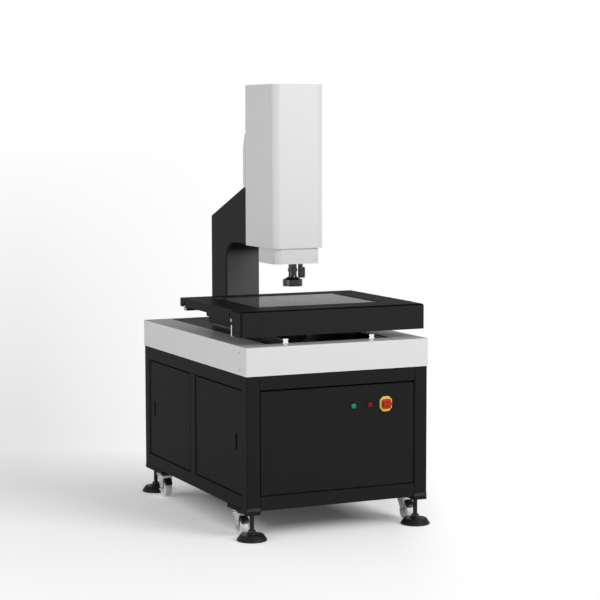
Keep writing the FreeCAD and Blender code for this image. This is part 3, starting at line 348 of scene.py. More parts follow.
    def piece(self, name: str, material: bpy.types.Material, body: str, slot: str | None = None,
              stands_for: Sequence[str] = ()) -> bpy.types.Object:
        """Turn the gathered geometry into a piece of the machine.

        Args:
            name: the piece's name.
            material: its finish.
            body: the CAD body that it moves with.
            slot: the record's material slot, or None for a finish of its own; not used.
            stands_for: CAD nodes that it replaces.

        Returns:
            The new object.
        """
        self.bm.normal_update()
        for face in self.bm.faces:
            face.smooth = True
        for edge in self.bm.edges:
            flat = len(edge.link_faces) == 2 and edge.calc_face_angle() < self.SHARP
            edge.smooth = flat
        mesh = bpy.data.meshes.new(name)
        self.bm.to_mesh(mesh)
        self.bm.free()
        mesh.materials.append(material)
        made = bpy.data.objects.new(name, mesh)
        bpy.context.scene.collection.objects.link(made)
        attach(made, body)
        if stands_for:
            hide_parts(*stands_for)
        LOG.info("piece %s on %s, %d faces", name, body, len(mesh.polygons))
        return made


def arc(centre: Pair, radius: float, start: float, end: float, steps: int = 8) -> list[Pair]:
    """Points on part of a circle, with the angles in degrees."""
    made = []
    for i in range(steps + 1):
        a = math.radians(start + (end - start) * i / steps)
        made.append((centre[0] + radius * math.cos(a), centre[1] + radius * math.sin(a)))
    return made


def thread(radius: float, depth: float, low: float, high: float, pitch: float) -> list[Pair]:
    """Section of a threaded bar as (radius, height) pairs, with flat ends."""
    turns = max(1, round((high - low) / pitch))
    step = (high - low) / turns
    made = [(0.0, low)]
    for i in range(turns):
        z = low + i * step
        made += [(radius - depth, z + 0.05 * step), (radius, z + 0.4 * step),
                 (radius, z + 0.6 * step), (radius - depth, z + 0.95 * step)]
    return made + [(0.0, high)]


# Shader building


class Graph:
    """Adds linked nodes to one node tree."""

    def __init__(self, tree: bpy.types.NodeTree) -> None:
        """Work on a tree."""
        self.tree = tree

    def add(self, kind: str, inputs: dict | None = None, **settings: object) -> bpy.types.Node:
        """Add a node.

        Args:
            kind: Blender's name of the node type.
            inputs: socket names or numbers, with a value or the socket that feeds each.
            settings: properties of the node.

        Returns:
            The new node.
        """
        made = self.tree.nodes.new(kind)
        for key, value in settings.items():
            setattr(made, key, value)
        for key, value in (inputs or {}).items():
            if isinstance(value, bpy.types.NodeSocket):
                self.tree.links.new(value, made.inputs[key])
            else:
                made.inputs[key].default_value = value
        return made

    def math(self, operation: str, one: object, two: object = 0.0) -> bpy.types.NodeSocket:
        """Result of an arithmetic step on two values."""
        return self.add("ShaderNodeMath", {0: one, 1: two}, operation=operation).outputs[0]

    def ranged(self, value: object, low: float, high: float, to_low: float,
               to_high: float) -> bpy.types.NodeSocket:
        """Value mapped from one range to another, and held inside it."""
        node = self.add("ShaderNodeMapRange", {"Value": value, "From Min": low, "From Max": high,
                                               "To Min": to_low, "To Max": to_high})
        return node.outputs["Result"]

    def blend(self, share: object, one: object, two: object,
              kind: str = "MIX") -> bpy.types.NodeSocket:
        """Mix of two colours."""
        node = self.add("ShaderNodeMix", data_type="RGBA", blend_type=kind)
        for index, value in ((0, share), (6, one), (7, two)):
            if isinstance(value, bpy.types.NodeSocket):
                self.tree.links.new(value, node.inputs[index])
            else:
                node.inputs[index].default_value = value
        return node.outputs[2]


class Effect:
    """A shader node group that several finishes share."""

    KINDS = {float: "NodeSocketFloat", tuple: "NodeSocketColor", Vector: "NodeSocketVector"}

    def __init__(self, name: str, inputs: dict, outputs: dict) -> None:
        """Make the group with its sockets.

        Args:
            name: the group's name.
            inputs: names of inputs with their first values.
            outputs: names of outputs with a value of their kind.
        """
        self.tree = bpy.data.node_groups.new(name, "ShaderNodeTree")
        for label, value in inputs.items():
            socket = self.tree.interface.new_socket(name=label, in_out="INPUT",
                                                    socket_type=self.KINDS[type(value)])
            socket.default_value = value
        for label, value in outputs.items():
            self.tree.interface.new_socket(name=label, in_out="OUTPUT",
                                           socket_type=self.KINDS[type(value)])
        self.graph = Graph(self.tree)
        self.given = self.graph.add("NodeGroupInput").outputs
        self.result = self.graph.add("NodeGroupOutput").inputs

    def give(self, label: str, socket: bpy.types.NodeSocket) -> None:
        """Feed one of the group's outputs."""
        self.tree.links.new(socket, self.result[label])


def rgba(color: Color) -> tuple[float, float, float, float]:
    """Colour with full opacity."""
    return (*color, 1.0)


class Effects:
    """Builds each shared effect once and places it in materials."""

    def __init__(self) -> None:
        """Build every group."""
        self.trees = {
            "mottle": self.mottle(),
            "peel": self.peel(),
            "dust": self.dust(),
            "drag": self.drag(),
            "crystal": self.crystal(),
            "rim_wear": self.rim_wear(),
            "facing": self.facing(),
        }

    def place(self, graph: Graph, name: str, inputs: dict) -> bpy.types.Node:
        """Add one of the groups to a material."""
        node = graph.add("ShaderNodeGroup", node_tree=self.trees[name])
        for key, value in inputs.items():
            if isinstance(value, bpy.types.NodeSocket):
                graph.tree.links.new(value, node.inputs[key])
            else:
                node.inputs[key].default_value = value
        return node

    @staticmethod
    def mottle() -> bpy.types.NodeTree:
        """Broad and fine unevenness of a colour."""
        fx = Effect("mottle", {"Color": (0.5, 0.5, 0.5, 1.0), "Amount": 0.05, "Scale": 12.0},
                    {"Color": (0.0,), "Mask": 0.0})
        g = fx.graph
        where = g.add("ShaderNodeTexCoord").outputs["Object"]
        broad = g.add("ShaderNodeTexNoise", {"Vector": where, "Scale": fx.given["Scale"],
                                             "Detail": 3.0, "Roughness": 0.55})
        fine_scale = g.math("MULTIPLY", fx.given["Scale"], 34.0)
        fine = g.add("ShaderNodeTexNoise", {"Vector": where, "Scale": fine_scale, "Detail": 2.0})
        both = g.math("ADD", g.math("MULTIPLY", broad.outputs[0], 0.7),
                      g.math("MULTIPLY", fine.outputs[0], 0.3))
        swing = g.math("MULTIPLY", g.math("SUBTRACT", both, 0.5), fx.given["Amount"])
        gain = g.math("ADD", g.math("MULTIPLY", swing, 4.0), 1.0)
        tinted = g.add("ShaderNodeVectorMath", {0: fx.given["Color"]}, operation="SCALE")
        g.tree.links.new(gain, tinted.inputs["Scale"])
        fx.give("Color", tinted.outputs[0])
        fx.give("Mask", both)
        return fx.tree

    @staticmethod
    def peel() -> bpy.types.NodeTree:
        """Orange-peel surface of sprayed or powder paint, and moulded grain."""
        fx = Effect("peel", {"Scale": 600.0, "Grit": 0.3}, {"Height": 0.0, "Mask": 0.0})
        g = fx.graph
        where = g.add("ShaderNodeTexCoord").outputs["Object"]
        waves = g.add("ShaderNodeTexNoise", {"Vector": where, "Scale": fx.given["Scale"],
                                             "Detail": 1.5, "Roughness": 0.4})
        grit_scale = g.math("MULTIPLY", fx.given["Scale"], 3.1)
        grit = g.add("ShaderNodeTexVoronoi", {"Vector": where, "Scale": grit_scale})
        height = g.math("ADD", waves.outputs[0],
                        g.math("MULTIPLY", grit.outputs["Distance"], fx.given["Grit"]))
        fx.give("Height", height)
        fx.give("Mask", g.ranged(waves.outputs[0], 0.3, 0.7, 0.0, 1.0))
        return fx.tree

    @staticmethod
    def dust() -> bpy.types.NodeTree:
        """Faint settled dust on surfaces that face up."""
        fx = Effect("dust", {"Amount": 0.05, "Scale": 9.0}, {"Mask": 0.0})
        g = fx.graph
        where = g.add("ShaderNodeTexCoord").outputs["Object"]
        facing = g.add("ShaderNodeNewGeometry").outputs["Normal"]
        upward = g.add("ShaderNodeSeparateXYZ", {0: facing}).outputs["Z"]
        lying = g.ranged(upward, 0.5, 1.0, 0.0, 1.0)
        cloud = g.add("ShaderNodeTexNoise", {"Vector": where, "Scale": fx.given["Scale"],
                                             "Detail": 6.0, "Roughness": 0.7})
        patch = g.ranged(cloud.outputs[0], 0.35, 0.75, 0.2, 1.0)
        fx.give("Mask", g.math("MULTIPLY", g.math("MULTIPLY", lying, patch), fx.given["Amount"]))
        return fx.tree

    @staticmethod
    def drag() -> bpy.types.NodeTree:
        """Fine lines left by grinding, brushing or turning."""
        fx = Effect("drag", {"Stretch": Vector((1.0, 1.0, 1.0)), "Scale": 700.0},
                    {"Height": 0.0, "Mask": 0.0})
        g = fx.graph
        where = g.add("ShaderNodeTexCoord").outputs["Object"]
        along = g.add("ShaderNodeVectorMath", {0: where, 1: fx.given["Stretch"]},
                      operation="MULTIPLY")
        lines = g.add("ShaderNodeTexNoise", {"Vector": along.outputs[0], "Scale": fx.given["Scale"],
                                             "Detail": 4.0, "Roughness": 0.7})
        fx.give("Height", lines.outputs[0])
        fx.give("Mask", g.ranged(lines.outputs[0], 0.35, 0.65, 0.0, 1.0))
        return fx.tree

    @staticmethod
    def crystal() -> bpy.types.NodeTree:
        """Grains of a black granite with pale and bright flecks."""
        fx = Effect("crystal", {"Dark": (0.012, 0.012, 0.013, 1.0), "Pale": (0.09, 0.09, 0.095, 1.0),
                                "Scale": 420.0}, {"Color": (0.0,), "Mask": 0.0})
        g = fx.graph
        where = g.add("ShaderNodeTexCoord").outputs["Object"]
        wobble = g.add("ShaderNodeTexNoise", {"Vector": where, "Scale": 180.0, "Detail": 2.0})
        bent = g.add("ShaderNodeMix", data_type="VECTOR")
        bent.inputs[0].default_value = 0.002
        g.tree.links.new(where, bent.inputs[4])
        g.tree.links.new(wobble.outputs["Color"], bent.inputs[5])
        cells = g.add("ShaderNodeTexVoronoi", {"Vector": bent.outputs[1], "Scale": fx.given["Scale"]})
        shade = g.add("ShaderNodeSeparateColor", {0: cells.outputs["Color"]}).outputs[0]
        flecks = g.ranged(shade, 0.72, 0.95, 0.0, 1.0)
        fx.give("Color", g.blend(flecks, fx.given["Dark"], fx.given["Pale"]))
        fx.give("Mask", flecks)
        return fx.tree

    @staticmethod
    def rim_wear() -> bpy.types.NodeTree:
        """Lighter colour on sharp outer edges, broken up by noise."""
        fx = Effect("rim_wear", {"Amount": 0.3, "Scale": 90.0}, {"Mask": 0.0})
        g = fx.graph
        where = g.add("ShaderNodeTexCoord").outputs["Object"]
        edge = g.add("ShaderNodeNewGeometry").outputs["Pointiness"]
        sharp_edges = g.ranged(edge, 0.52, 0.6, 0.0, 1.0)
        patch = g.add("ShaderNodeTexNoise", {"Vector": where, "Scale": fx.given["Scale"],
                                             "Detail": 3.0})
        broken = g.ranged(patch.outputs[0], 0.4, 0.6, 0.0, 1.0)
        fx.give("Mask", g.math("MULTIPLY", g.math("MULTIPLY", sharp_edges, broken), fx.given["Amount"]))
        return fx.tree

    @staticmethod
    def facing() -> bpy.types.NodeTree:
        """Painted light on faces that look to the operator's side, made lighter as if lit from the front.
        """
        fx = Effect("facing", {"Low": 0.75, "High": 0.98}, {"Mask": 0.0})
        g = fx.graph
        normal = g.add("ShaderNodeNewGeometry").outputs["Normal"]
        depth = g.add("ShaderNodeSeparateXYZ", {0: normal}).outputs["Y"]
        toward = g.math("MULTIPLY", depth, -1.0)
        where = g.add("ShaderNodeTexCoord").outputs["Object"]
        cloud = g.add("ShaderNodeTexNoise", {"Vector": where, "Scale": 14.0, "Detail": 3.0})
        broken = g.ranged(cloud.outputs[0], 0.3, 0.7, 0.94, 1.0)
        span = g.add("ShaderNodeMapRange", {"Value": toward, "From Min": fx.given["Low"],
                                            "From Max": fx.given["High"]})
        fx.give("Mask", g.math("MULTIPLY", span.outputs["Result"], broken))
        return fx.tree


class Coating(Enum):
    """Ways in which a surface gets its colour."""

    PAINT = "paint"
    ANODISED = "anodised"
    MOULDED = "moulded"


@dataclass(frozen=True)
class Coated:
    """Painted, anodised or moulded surface in one colour."""

    name: str
    color: Color
    roughness: float
    kind: Coating = Coating.PAINT
    uneven: float = 0.02
    uneven_scale: float = 7.0
    grain: float = 520.0
    relief: float = 0.00002
    dust: float = 0.03
    specular: float = 0.5
    # front: colour of painted light on faces that look to -Y, lighter as if lit from the front
    front: Color | None = None

    def build(self, effects: Effects) -> bpy.types.Material:
        """Make the material.

        Args:
            effects: the shared node groups.

        Returns:
            The finished material.
        """
        material, graph, shader = blank(self.name)
        tone = effects.place(graph, "mottle", {"Color": rgba(self.color), "Amount": self.uneven,
                                               "Scale": self.uneven_scale})
        base = tone.outputs["Color"]
        # Painted light: faces that look to -Y blend towards the lighter front colour.
        if self.front:
            facing = effects.place(graph, "facing", {"Low": 0.75, "High": 0.98})
            base = graph.blend(facing.outputs["Mask"], base, rgba(self.front))
        if self.dust:
            film = effects.place(graph, "dust", {"Amount": self.dust})
            base = graph.blend(film.outputs["Mask"], base, rgba(DUST))
        skin = effects.place(graph, "peel", {
            "Scale": self.grain, "Grit": 0.6 if self.kind is Coating.MOULDED else 0.25})
        spread = 0.02 if self.kind is Coating.PAINT else 0.05
        rough = graph.ranged(skin.outputs["Mask"], 0.0, 1.0, self.roughness - spread,
                             self.roughness + spread)
        bump = graph.add("ShaderNodeBump", {"Height": skin.outputs["Height"], "Strength": 0.5,
                                            "Distance": self.relief})
        wire(graph, shader, {"Base Color": base, "Roughness": rough,
                             "Normal": bump.outputs["Normal"],
                             "Specular IOR Level": self.specular})
        return material


@dataclass(frozen=True)
class BareMetal:
    """Ground, turned or plated metal."""

    name: str
    color: Color
    roughness: float
    stretch: Color = (1.0, 1.0, 0.02)
    lines: float = 900.0
    relief: float = 0.00002
    uneven: float = 0.03
    pale_edge: float = 0.0

    def build(self, effects: Effects) -> bpy.types.Material:
        """Make the material.

        Args:
            effects: the shared node groups.

        Returns:
            The finished material.
        """
        material, graph, shader = blank(self.name)
        tone = effects.place(graph, "mottle", {"Color": rgba(self.color), "Amount": self.uneven,
                                               "Scale": 20.0})
        base = tone.outputs["Color"]
        # Lighter colour on sharp edges, where the mesh is pointy.
        if self.pale_edge:
            rim = effects.place(graph, "rim_wear", {"Amount": self.pale_edge})
            base = graph.blend(rim.outputs["Mask"], base, (0.9, 0.9, 0.9, 1.0))
        marks = effects.place(graph, "drag", {"Stretch": Vector(self.stretch), "Scale": self.lines})
        rough = graph.ranged(marks.outputs["Mask"], 0.0, 1.0, self.roughness - 0.05,
                             self.roughness + 0.06)
        bump = graph.add("ShaderNodeBump", {"Height": marks.outputs["Height"], "Strength": 0.4,
                                            "Distance": self.relief})
        wire(graph, shader, {"Base Color": base, "Roughness": rough, "Metallic": 1.0,
                             "Normal": bump.outputs["Normal"]})
        return material


@dataclass(frozen=True)
class Stone:
    """Lapped black granite."""

    name: str = "granite_black"
    dark: Color = (0.005, 0.005, 0.0055)
    pale: Color = (0.028, 0.028, 0.03)

    def build(self, effects: Effects) -> bpy.types.Material:
        """Make the material from the shared grain group."""
        material, graph, shader = blank(self.name)
        grain = effects.place(graph, "crystal", {"Dark": rgba(self.dark), "Pale": rgba(self.pale)})
        film = effects.place(graph, "dust", {"Amount": 0.004})
        base = graph.blend(film.outputs["Mask"], grain.outputs["Color"], rgba(DUST))
        rough = graph.ranged(grain.outputs["Mask"], 0.0, 1.0, 0.3, 0.4)
        wire(graph, shader, {"Base Color": base, "Roughness": rough, "Specular IOR Level": 0.02})
        return material


@dataclass(frozen=True)
class Clear:
    """Clear plate glass or a tinted lens."""

    name: str
    color: Color = (0.93, 0.97, 0.95)
    roughness: float = 0.02
    ior: float = 1.52

    def build(self, effects: Effects) -> bpy.types.Material:
        """Make the material, with a faint film of handling marks on its gloss."""
        material, graph, shader = blank(self.name)
        film = effects.place(graph, "mottle", {"Color": (0.5, 0.5, 0.5, 1.0), "Amount": 0.1,
                                               "Scale": 14.0})
        rough = graph.ranged(film.outputs["Mask"], 0.35, 0.7, self.roughness,
                             self.roughness + 0.02)
        tint = effects.place(graph, "mottle", {"Color": rgba(self.color), "Amount": 0.004,
                                               "Scale": 6.0})
        wire(graph, shader, {"Base Color": tint.outputs["Color"], "Roughness": rough,
                             "Transmission Weight": 1.0, "IOR": self.ior})
        return material


def blank(name: str) -> tuple[bpy.types.Material, Graph, bpy.types.Node]:
    """New material with only its surface shader and output.

    Args:
        name: the material's name.

    Returns:
        The material, its graph and its Principled shader.
    """
    material = bpy.data.materials.new(name)
    material.use_nodes = True
    material.node_tree.nodes.clear()
    graph = Graph(material.node_tree)
    shader = graph.add("ShaderNodeBsdfPrincipled")
    graph.add("ShaderNodeOutputMaterial", {"Surface": shader.outputs["BSDF"]})
    return material, graph, shader


def wire(graph: Graph, shader: bpy.types.Node, inputs: dict) -> None:
    """Set or link the inputs of a shader."""
    for key, value in inputs.items():
        if isinstance(value, bpy.types.NodeSocket):
            graph.tree.links.new(value, shader.inputs[key])
        else:
            shader.inputs[key].default_value = value


class Palette:
    """Every finish of the machine, by name."""

    FINISHES = (
        # The front colours are painted light: faces that look to -Y are made lighter as if lit from the
        # front.
        Coated("frame_black", (0.0132, 0.0132, 0.0136), 0.42, grain=700.0, relief=0.00003,
               specular=0.02, dust=0.008, front=(0.0182, 0.0182, 0.0186)),
        Coated("panel_black", (0.0138, 0.0138, 0.0142), 0.44, grain=700.0, relief=0.00003,
               specular=0.02, dust=0.008, front=(0.0182, 0.0182, 0.0186)),
        Coated("cover_white", (0.76, 0.76, 0.76), 0.38, uneven=0.006, dust=0.01, grain=420.0),
        Coated("column_black", (0.022, 0.022, 0.0225), 0.46, uneven=0.04, grain=260.0,
               relief=0.00005, specular=0.03, dust=0.008, front=(0.122, 0.122, 0.123)),
        Coated("stage_black", (0.011, 0.011, 0.0115), 0.4, kind=Coating.ANODISED, grain=900.0,
               relief=0.00001, specular=0.025, dust=0.003, front=(0.0235, 0.0235, 0.024)),
        Coated("saddle_grey", (0.014, 0.014, 0.015), 0.42, kind=Coating.ANODISED, grain=900.0,
               specular=0.045, dust=0.012),
        Coated("optics_black", (0.005, 0.005, 0.005), 0.17, kind=Coating.ANODISED, grain=1500.0,
               relief=0.000004, dust=0.0, specular=0.6),
        Coated("lamp_housing", (0.12, 0.12, 0.125), 0.4, kind=Coating.ANODISED),
        Coated("box_grey", (0.36, 0.37, 0.38), 0.5, grain=300.0, relief=0.00006),
        Coated("bezel_metal", (0.012, 0.014, 0.013), 0.4, kind=Coating.MOULDED, dust=0.0,
               specular=0.12),
        Coated("switch_yellow", (0.8, 0.58, 0.12), 0.42, kind=Coating.MOULDED, dust=0.0,
               specular=0.2),
        Coated("switch_red", (0.5, 0.026, 0.006), 0.42, kind=Coating.MOULDED, dust=0.0,
               specular=0.15),
        Coated("button_green", (0.004, 0.25, 0.13), 0.25, kind=Coating.MOULDED, dust=0.0,
               specular=0.2),
        Coated("button_red", (0.22, 0.002, 0.006), 0.25, kind=Coating.MOULDED, dust=0.0,
               specular=0.15),
        Coated("foot_black", (0.012, 0.012, 0.012), 0.36, kind=Coating.MOULDED, grain=800.0),
        Coated("wheel_nylon", (0.88, 0.88, 0.86), 0.36, kind=Coating.MOULDED, dust=0.0),
        Coated("pedal_black", (0.014, 0.014, 0.014), 0.4, kind=Coating.MOULDED),
        Coated("diffuser_white", (0.8, 0.8, 0.78), 0.45, kind=Coating.MOULDED, dust=0.0),
        Coated("end_cap", (0.014, 0.014, 0.014), 0.4, kind=Coating.MOULDED, dust=0.0, specular=0.05,
               front=(0.05, 0.05, 0.051)),
        Coated("shadow_black", (0.002, 0.002, 0.002), 0.7, dust=0.0, specular=0.01),
        BareMetal("guide_steel", (0.3, 0.31, 0.32), 0.25, stretch=(0.03, 1.0, 1.0)),
        BareMetal("drive_steel", (0.42, 0.43, 0.44), 0.3, stretch=(1.0, 1.0, 1.0)),
        BareMetal("bright_aluminium", (0.78, 0.78, 0.78), 0.3, stretch=(1.0, 1.0, 0.05)),
        BareMetal("pin_steel", (0.68, 0.68, 0.69), 0.34, stretch=(1.0, 1.0, 1.0)),
        BareMetal("caster_zinc", (0.6, 0.6, 0.61), 0.3, stretch=(1.0, 0.3, 1.0), lines=300.0,
                  pale_edge=0.2),
        Stone(),
        Clear("clear_glass"),
    )

    def __init__(self) -> None:
        """Build all the materials."""
        effects = Effects()
        self.made = {finish.name: finish.build(effects) for finish in self.FINISHES}

    def __getitem__(self, name: str) -> bpy.types.Material:
        """Material with this name."""
        return self.made[name]


# Sub-assemblies


@dataclass
class CadDress:
    """Gives every CAD node that stays in sight its finish."""

    palette: Palette
    blackened: dict[str, str] = field(default_factory=lambda: {"hinge_pins": "foot_black"})

    def dress(self) -> None:
        """Assign each node the finish of its material slot."""
        for row in frame["record"]["subparts"]:
            node = frame["nodes"][row["node"]]
            material = self.palette[self.blackened.get(row["node"], row["material_slot"])]
            for index in range(max(1, len(node.data.materials))):
                if index < len(node.data.materials):
                    node.data.materials[index] = material
                else:
                    node.data.materials.append(material)


@dataclass
class LevellingFoot:
    """Levelling foot: bell-shaped pad, hexagon nut and threaded stud."""

    corner: Corner
    palette: Palette
    rim_height: float = 0.006
    pad_height: float = 0.022
    top_radius: float = 0.042
    hub_radius: float = 0.017
    hub_height: float = 0.005
    nut_across: float = 0.026
    nut_height: float = 0.009
    stud_radius: float = 0.008
    stud_pitch: float = 0.002
    thread_depth: float = 0.0007

    def build(self) -> None:
        """Make the three pieces of the foot."""
        node = "foot_" + self.corner.tag
        low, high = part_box(node)
        at = ((low.x + high.x) / 2, (low.y + high.y) / 2, low.z)
        radius = (high.x - low.x) / 2
        hub_top = self.pad_height + self.hub_height
        nut_top = hub_top + self.nut_height
        black = self.palette["foot_black"]
        profile = [(0, 0.0004), (radius - 0.005, 0.0004), (radius - 0.0035, 0), (radius - 0.0012, 0.0003),
                   (radius, 0.0018), (radius, self.rim_height - 0.001),
                   (radius - 0.0012, self.rim_height + 0.0006)]
        shoulder = (self.top_radius - 0.0025, self.pad_height - 0.003)
        profile += arc(shoulder, 0.003, 38, 90, 5)
        profile += [(self.hub_radius + 0.0045, self.pad_height)]
        well = (self.hub_radius + 0.0045, self.pad_height + 0.0035)
        profile += arc(well, 0.0035, 270, 190, 4)
        profile += [(self.hub_radius, hub_top - 0.0008), (self.hub_radius - 0.0008, hub_top),
                    (0, hub_top)]
        Solid().turned(profile, at, steps=72).piece(node + "_pad", black, node, "foot_black", [node])
        nut = Solid().hexagon((at[0], at[1], low.z + hub_top), self.nut_across, self.nut_height)
        nut.piece(node + "_nut", black, node, "foot_black")
        stud = thread(self.stud_radius, self.thread_depth, nut_top, high.z - low.z, self.stud_pitch)
        Solid().turned(stud, at, steps=20).piece(node + "_stud", black, node, "foot_black")


@dataclass
class Caster:
    """Swivel caster: pressed fork, nylon wheel and brake pedal."""

    corner: Corner
    palette: Palette
    crown_radius: float = 0.028
    crown_depth: float = 0.004
    lip_drop: float = 0.0055
    kingpin_radius: float = 0.0062
    gap: float = 0.034
    sheet: float = 0.003
    leg_foot: float = 0.011
    heel: float = 0.006
    pin_forward: float = 0.014
    pin_above: float = 0.038
    pin_radius: float = 0.0025
    bolt_radius: float = 0.004
    pedal_clear: float = 0.003
    pedal_depth: float = 0.012
    pedal_width: float = 0.028

    def __post_init__(self) -> None:
        """Read the wheel's and the fork's places from the frame."""
        self.tag = self.corner.tag
        self.wheel = middle("caster_wheel_" + self.tag)
        low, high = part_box("caster_wheel_" + self.tag)
        self.wheel_radius = (high.z - low.z) / 2
        self.hub = (high.x - low.x) / 2
        low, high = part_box("caster_fork_" + self.tag)
        self.top = high.z
        self.swivel = high.y - self.crown_radius
        self.zinc = self.palette["caster_zinc"]

    def leg(self, solid: Solid, side: int) -> None:
        """Add one leg with its rolled edge and stamped rib."""
        x, y, z = self.wheel
        outer = self.gap / 2 + self.sheet
        reach = math.sqrt(self.crown_radius ** 2 - outer ** 2)
        nose = y - self.leg_foot - self.heel
        section = [(self.swivel + reach, self.top - 0.0005), (y + self.leg_foot + 0.006, z + 0.018)]
        section += arc((y, z), self.leg_foot, 0, -180, 12)
        section += [(nose + 0.001, z + 0.018), (nose, z + self.pin_above - self.heel),
                    (nose, self.top - 0.0005)]
        points = [(x + side * outer, a, b) for a, b in section]
        solid.plate(points, (-side * self.sheet, 0, 0), bevel=0.0009)
        rib = [(y + 0.004, z + 0.017), (y - 0.010, z + 0.017), (y - 0.013, z + 0.030),
               (y - 0.013, z + 0.047), (y + 0.018, z + 0.047), (y + 0.014, z + 0.034)]
        points = [(x + side * (outer + 0.0009), a, b) for a, b in rib]
        solid.plate(points, (-side * 0.0012, 0, 0), bevel=0.0008)

    def fork(self) -> None:
        """Make the fork with its crown, legs and axle bolt."""
        x, y, z = self.wheel
        outer = self.gap / 2 + self.sheet
        low = self.top - self.crown_depth
        r = self.crown_radius
        made = Solid()
        made.turned([(self.kingpin_radius, low), (r - 0.0022, low), (r - 0.0006, low + 0.0007),
                     (r, low + 0.0022), (r - 0.0005, self.top - 0.0006), (r - 0.0016, self.top),
                     (r - 0.006, self.top), (r - 0.0072, self.top - 0.0006),
                     (self.kingpin_radius, self.top - 0.0006)], (x, self.swivel, 0), closed=True)
        made.block((x - outer, y - self.leg_foot - self.heel, low),
                   (x + outer, self.swivel - self.kingpin_radius - 0.001, self.top - 0.0003), 0.0014, 3)
        nose = y - self.leg_foot - self.heel
        made.block((x - outer, nose - 0.0004, low - self.lip_drop),
                   (x + outer, nose + 0.0016, self.top - 0.0006), 0.0009, 3)
        for side in (-1, 1):
            self.leg(made, side)
        made.piece("fork_" + self.tag, self.zinc, "caster_fork_" + self.tag, "caster_zinc",
                   ["caster_fork_" + self.tag])
        bolt = Solid()
        bolt.turned([(0, -outer), (self.bolt_radius, -outer), (self.bolt_radius, outer), (0, outer)],
                    (x, y, z), Axis.X, 32)
        for side in (-1, 1):
            seat = x + side * outer
            first, last = sorted((seat, seat + side * 0.0008))
            bolt.turned([(0, 0), (0.0075, 0), (0.0075, last - first), (0, last - first)],
                        (first, y, z), Axis.X, 32)
            head = min(seat + side * 0.0008, seat + side * 0.004)
            bolt.hexagon((head, y, z), 0.0112, 0.0032, Axis.X)
        bolt.piece("axle_" + self.tag, self.palette["pin_steel"], "caster_fork_" + self.tag,
                   "pin_steel")

    def roll(self) -> None:
        """Make the wheel, with webs and radial ribs on both sides."""
        r = self.wheel_radius
        h = self.hub
        bore = self.bolt_radius + 0.00005
        half = [(bore, h - 0.0005), (bore + 0.0006, h), (0.0084, h), (0.009, h - 0.0008),
                (0.0094, h - 0.0058), (r - 0.0092, h - 0.0062), (r - 0.0078, h - 0.0036),
                (r - 0.0066, h - 0.0026), (r - 0.0042, h - 0.0027)]
        half += arc((r - 0.0045, h - 0.0072), 0.0045, 80, 0, 6)
        section = half + [(a, -b) for a, b in reversed(half)]
        made = Solid().turned(section, self.wheel, Axis.X, 72, closed=True)
        for side in (-1, 1):
            for i in range(8):
                turn = math.radians(45 * i + 22.5)
                way = Vector((0, math.cos(turn), math.sin(turn)))
                across = Vector((0, -math.sin(turn), math.cos(turn))) * 0.0011
                base = self.wheel + Vector((side * (h - 0.0068), 0, 0))
                corners = [base + way * 0.0086 + across, base + way * 0.0086 - across,
                           base + way * (r - 0.0082) - across, base + way * (r - 0.0082) + across]
                made.plate(corners, (side * 0.0034, 0, 0), bevel=0.0003, segments=1)
        made.piece("wheel_" + self.tag, self.palette["wheel_nylon"], "caster_wheel_" + self.tag,
                   "wheel_nylon", ["caster_wheel_" + self.tag])

    def pedal(self) -> None:
        """Make the brake pedal with its ribbed face, boss and pin."""
        x, y, z = self.wheel
        inner = self.wheel_radius + self.pedal_clear
        outer = inner + self.pedal_depth
        half = self.pedal_width / 2
        floor = outer - 0.0008
        body = "caster_pedal_" + self.tag
        section = arc((y, z), inner, 108, 139, 6) + arc((y, z), inner + 0.002, 150, 150, 1)[:1]
        section += arc((y, z), floor - 0.0015, 150, 150, 1)[:1] + arc((y, z), floor, 139, 113, 6)
        made = Solid().plate([(x - half, a, b) for a, b in section], (2 * half, 0, 0), bevel=0.0012)
        for degrees in (117, 121, 125, 129, 133, 137):
            rib = arc((y, z), floor - 0.001, degrees - 0.8, degrees + 0.8, 1)
            rib += arc((y, z), outer, degrees + 0.8, degrees - 0.8, 1)
            made.plate([(x - half + 0.002, a, b) for a, b in rib], (2 * half - 0.004, 0, 0))
        at = (x, y - self.pin_forward, z + self.pin_above)
        boss = self.pin_radius + 0.003
        made.turned([(0, -half), (boss - 0.0005, -half), (boss, -half + 0.0005),
                     (boss, half - 0.0005), (boss - 0.0005, half), (0, half)], at, Axis.X, 32)
        made.piece("pedal_" + self.tag, self.palette["pedal_black"], body, "pedal_black", [body])
        reach = self.gap / 2 + self.sheet
        pin = Solid().turned([(0, -reach), (self.pin_radius, -reach), (self.pin_radius, reach),
                              (0, reach)], at, Axis.X, 24)
        pin.piece("pedal_pin_" + self.tag, self.palette["pin_steel"], body, "pin_steel")

    def build(self) -> None:
        """Make all the pieces of the caster."""
        self.fork()
        self.roll()
        self.pedal()


@dataclass
class CasterTops:
    """Upper raceways of the four casters, with their ball grooves and kingpins."""

    palette: Palette
    race_radius: float = 0.027
    race_height: float = 0.006
    pin_radius: float = 0.006
    stem_height: float = 0.0125
    pin_drop: float = 0.0043

    def build(self) -> None:
        """Make the four tops as one piece."""
        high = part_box("caster_tops")[1]
        x = high.x - self.race_radius
        y = high.y - self.race_radius
        plate = high.z - self.stem_height
        base = plate - self.race_height
        made = Solid()
        r = self.race_radius
        for corner in Corner:
            sx, sy = corner.value
            made.turned([(0, high.z), (self.pin_radius, high.z), (self.pin_radius, plate),
                         (r - 0.0008, plate), (r, plate - 0.0008), (r, plate - 0.0022),
                         (r - 0.0018, plate - 0.003), (r - 0.0018, plate - 0.004),
                         (r - 0.0006, base + 0.0008), (r - 0.0016, base), (self.pin_radius, base),
                         (self.pin_radius, base - self.pin_drop), (0, base - self.pin_drop)],
                        (sx * x, sy * y, 0))
        made.piece("caster_races", self.palette["caster_zinc"], "base", "caster_zinc",
                   ["caster_tops"])


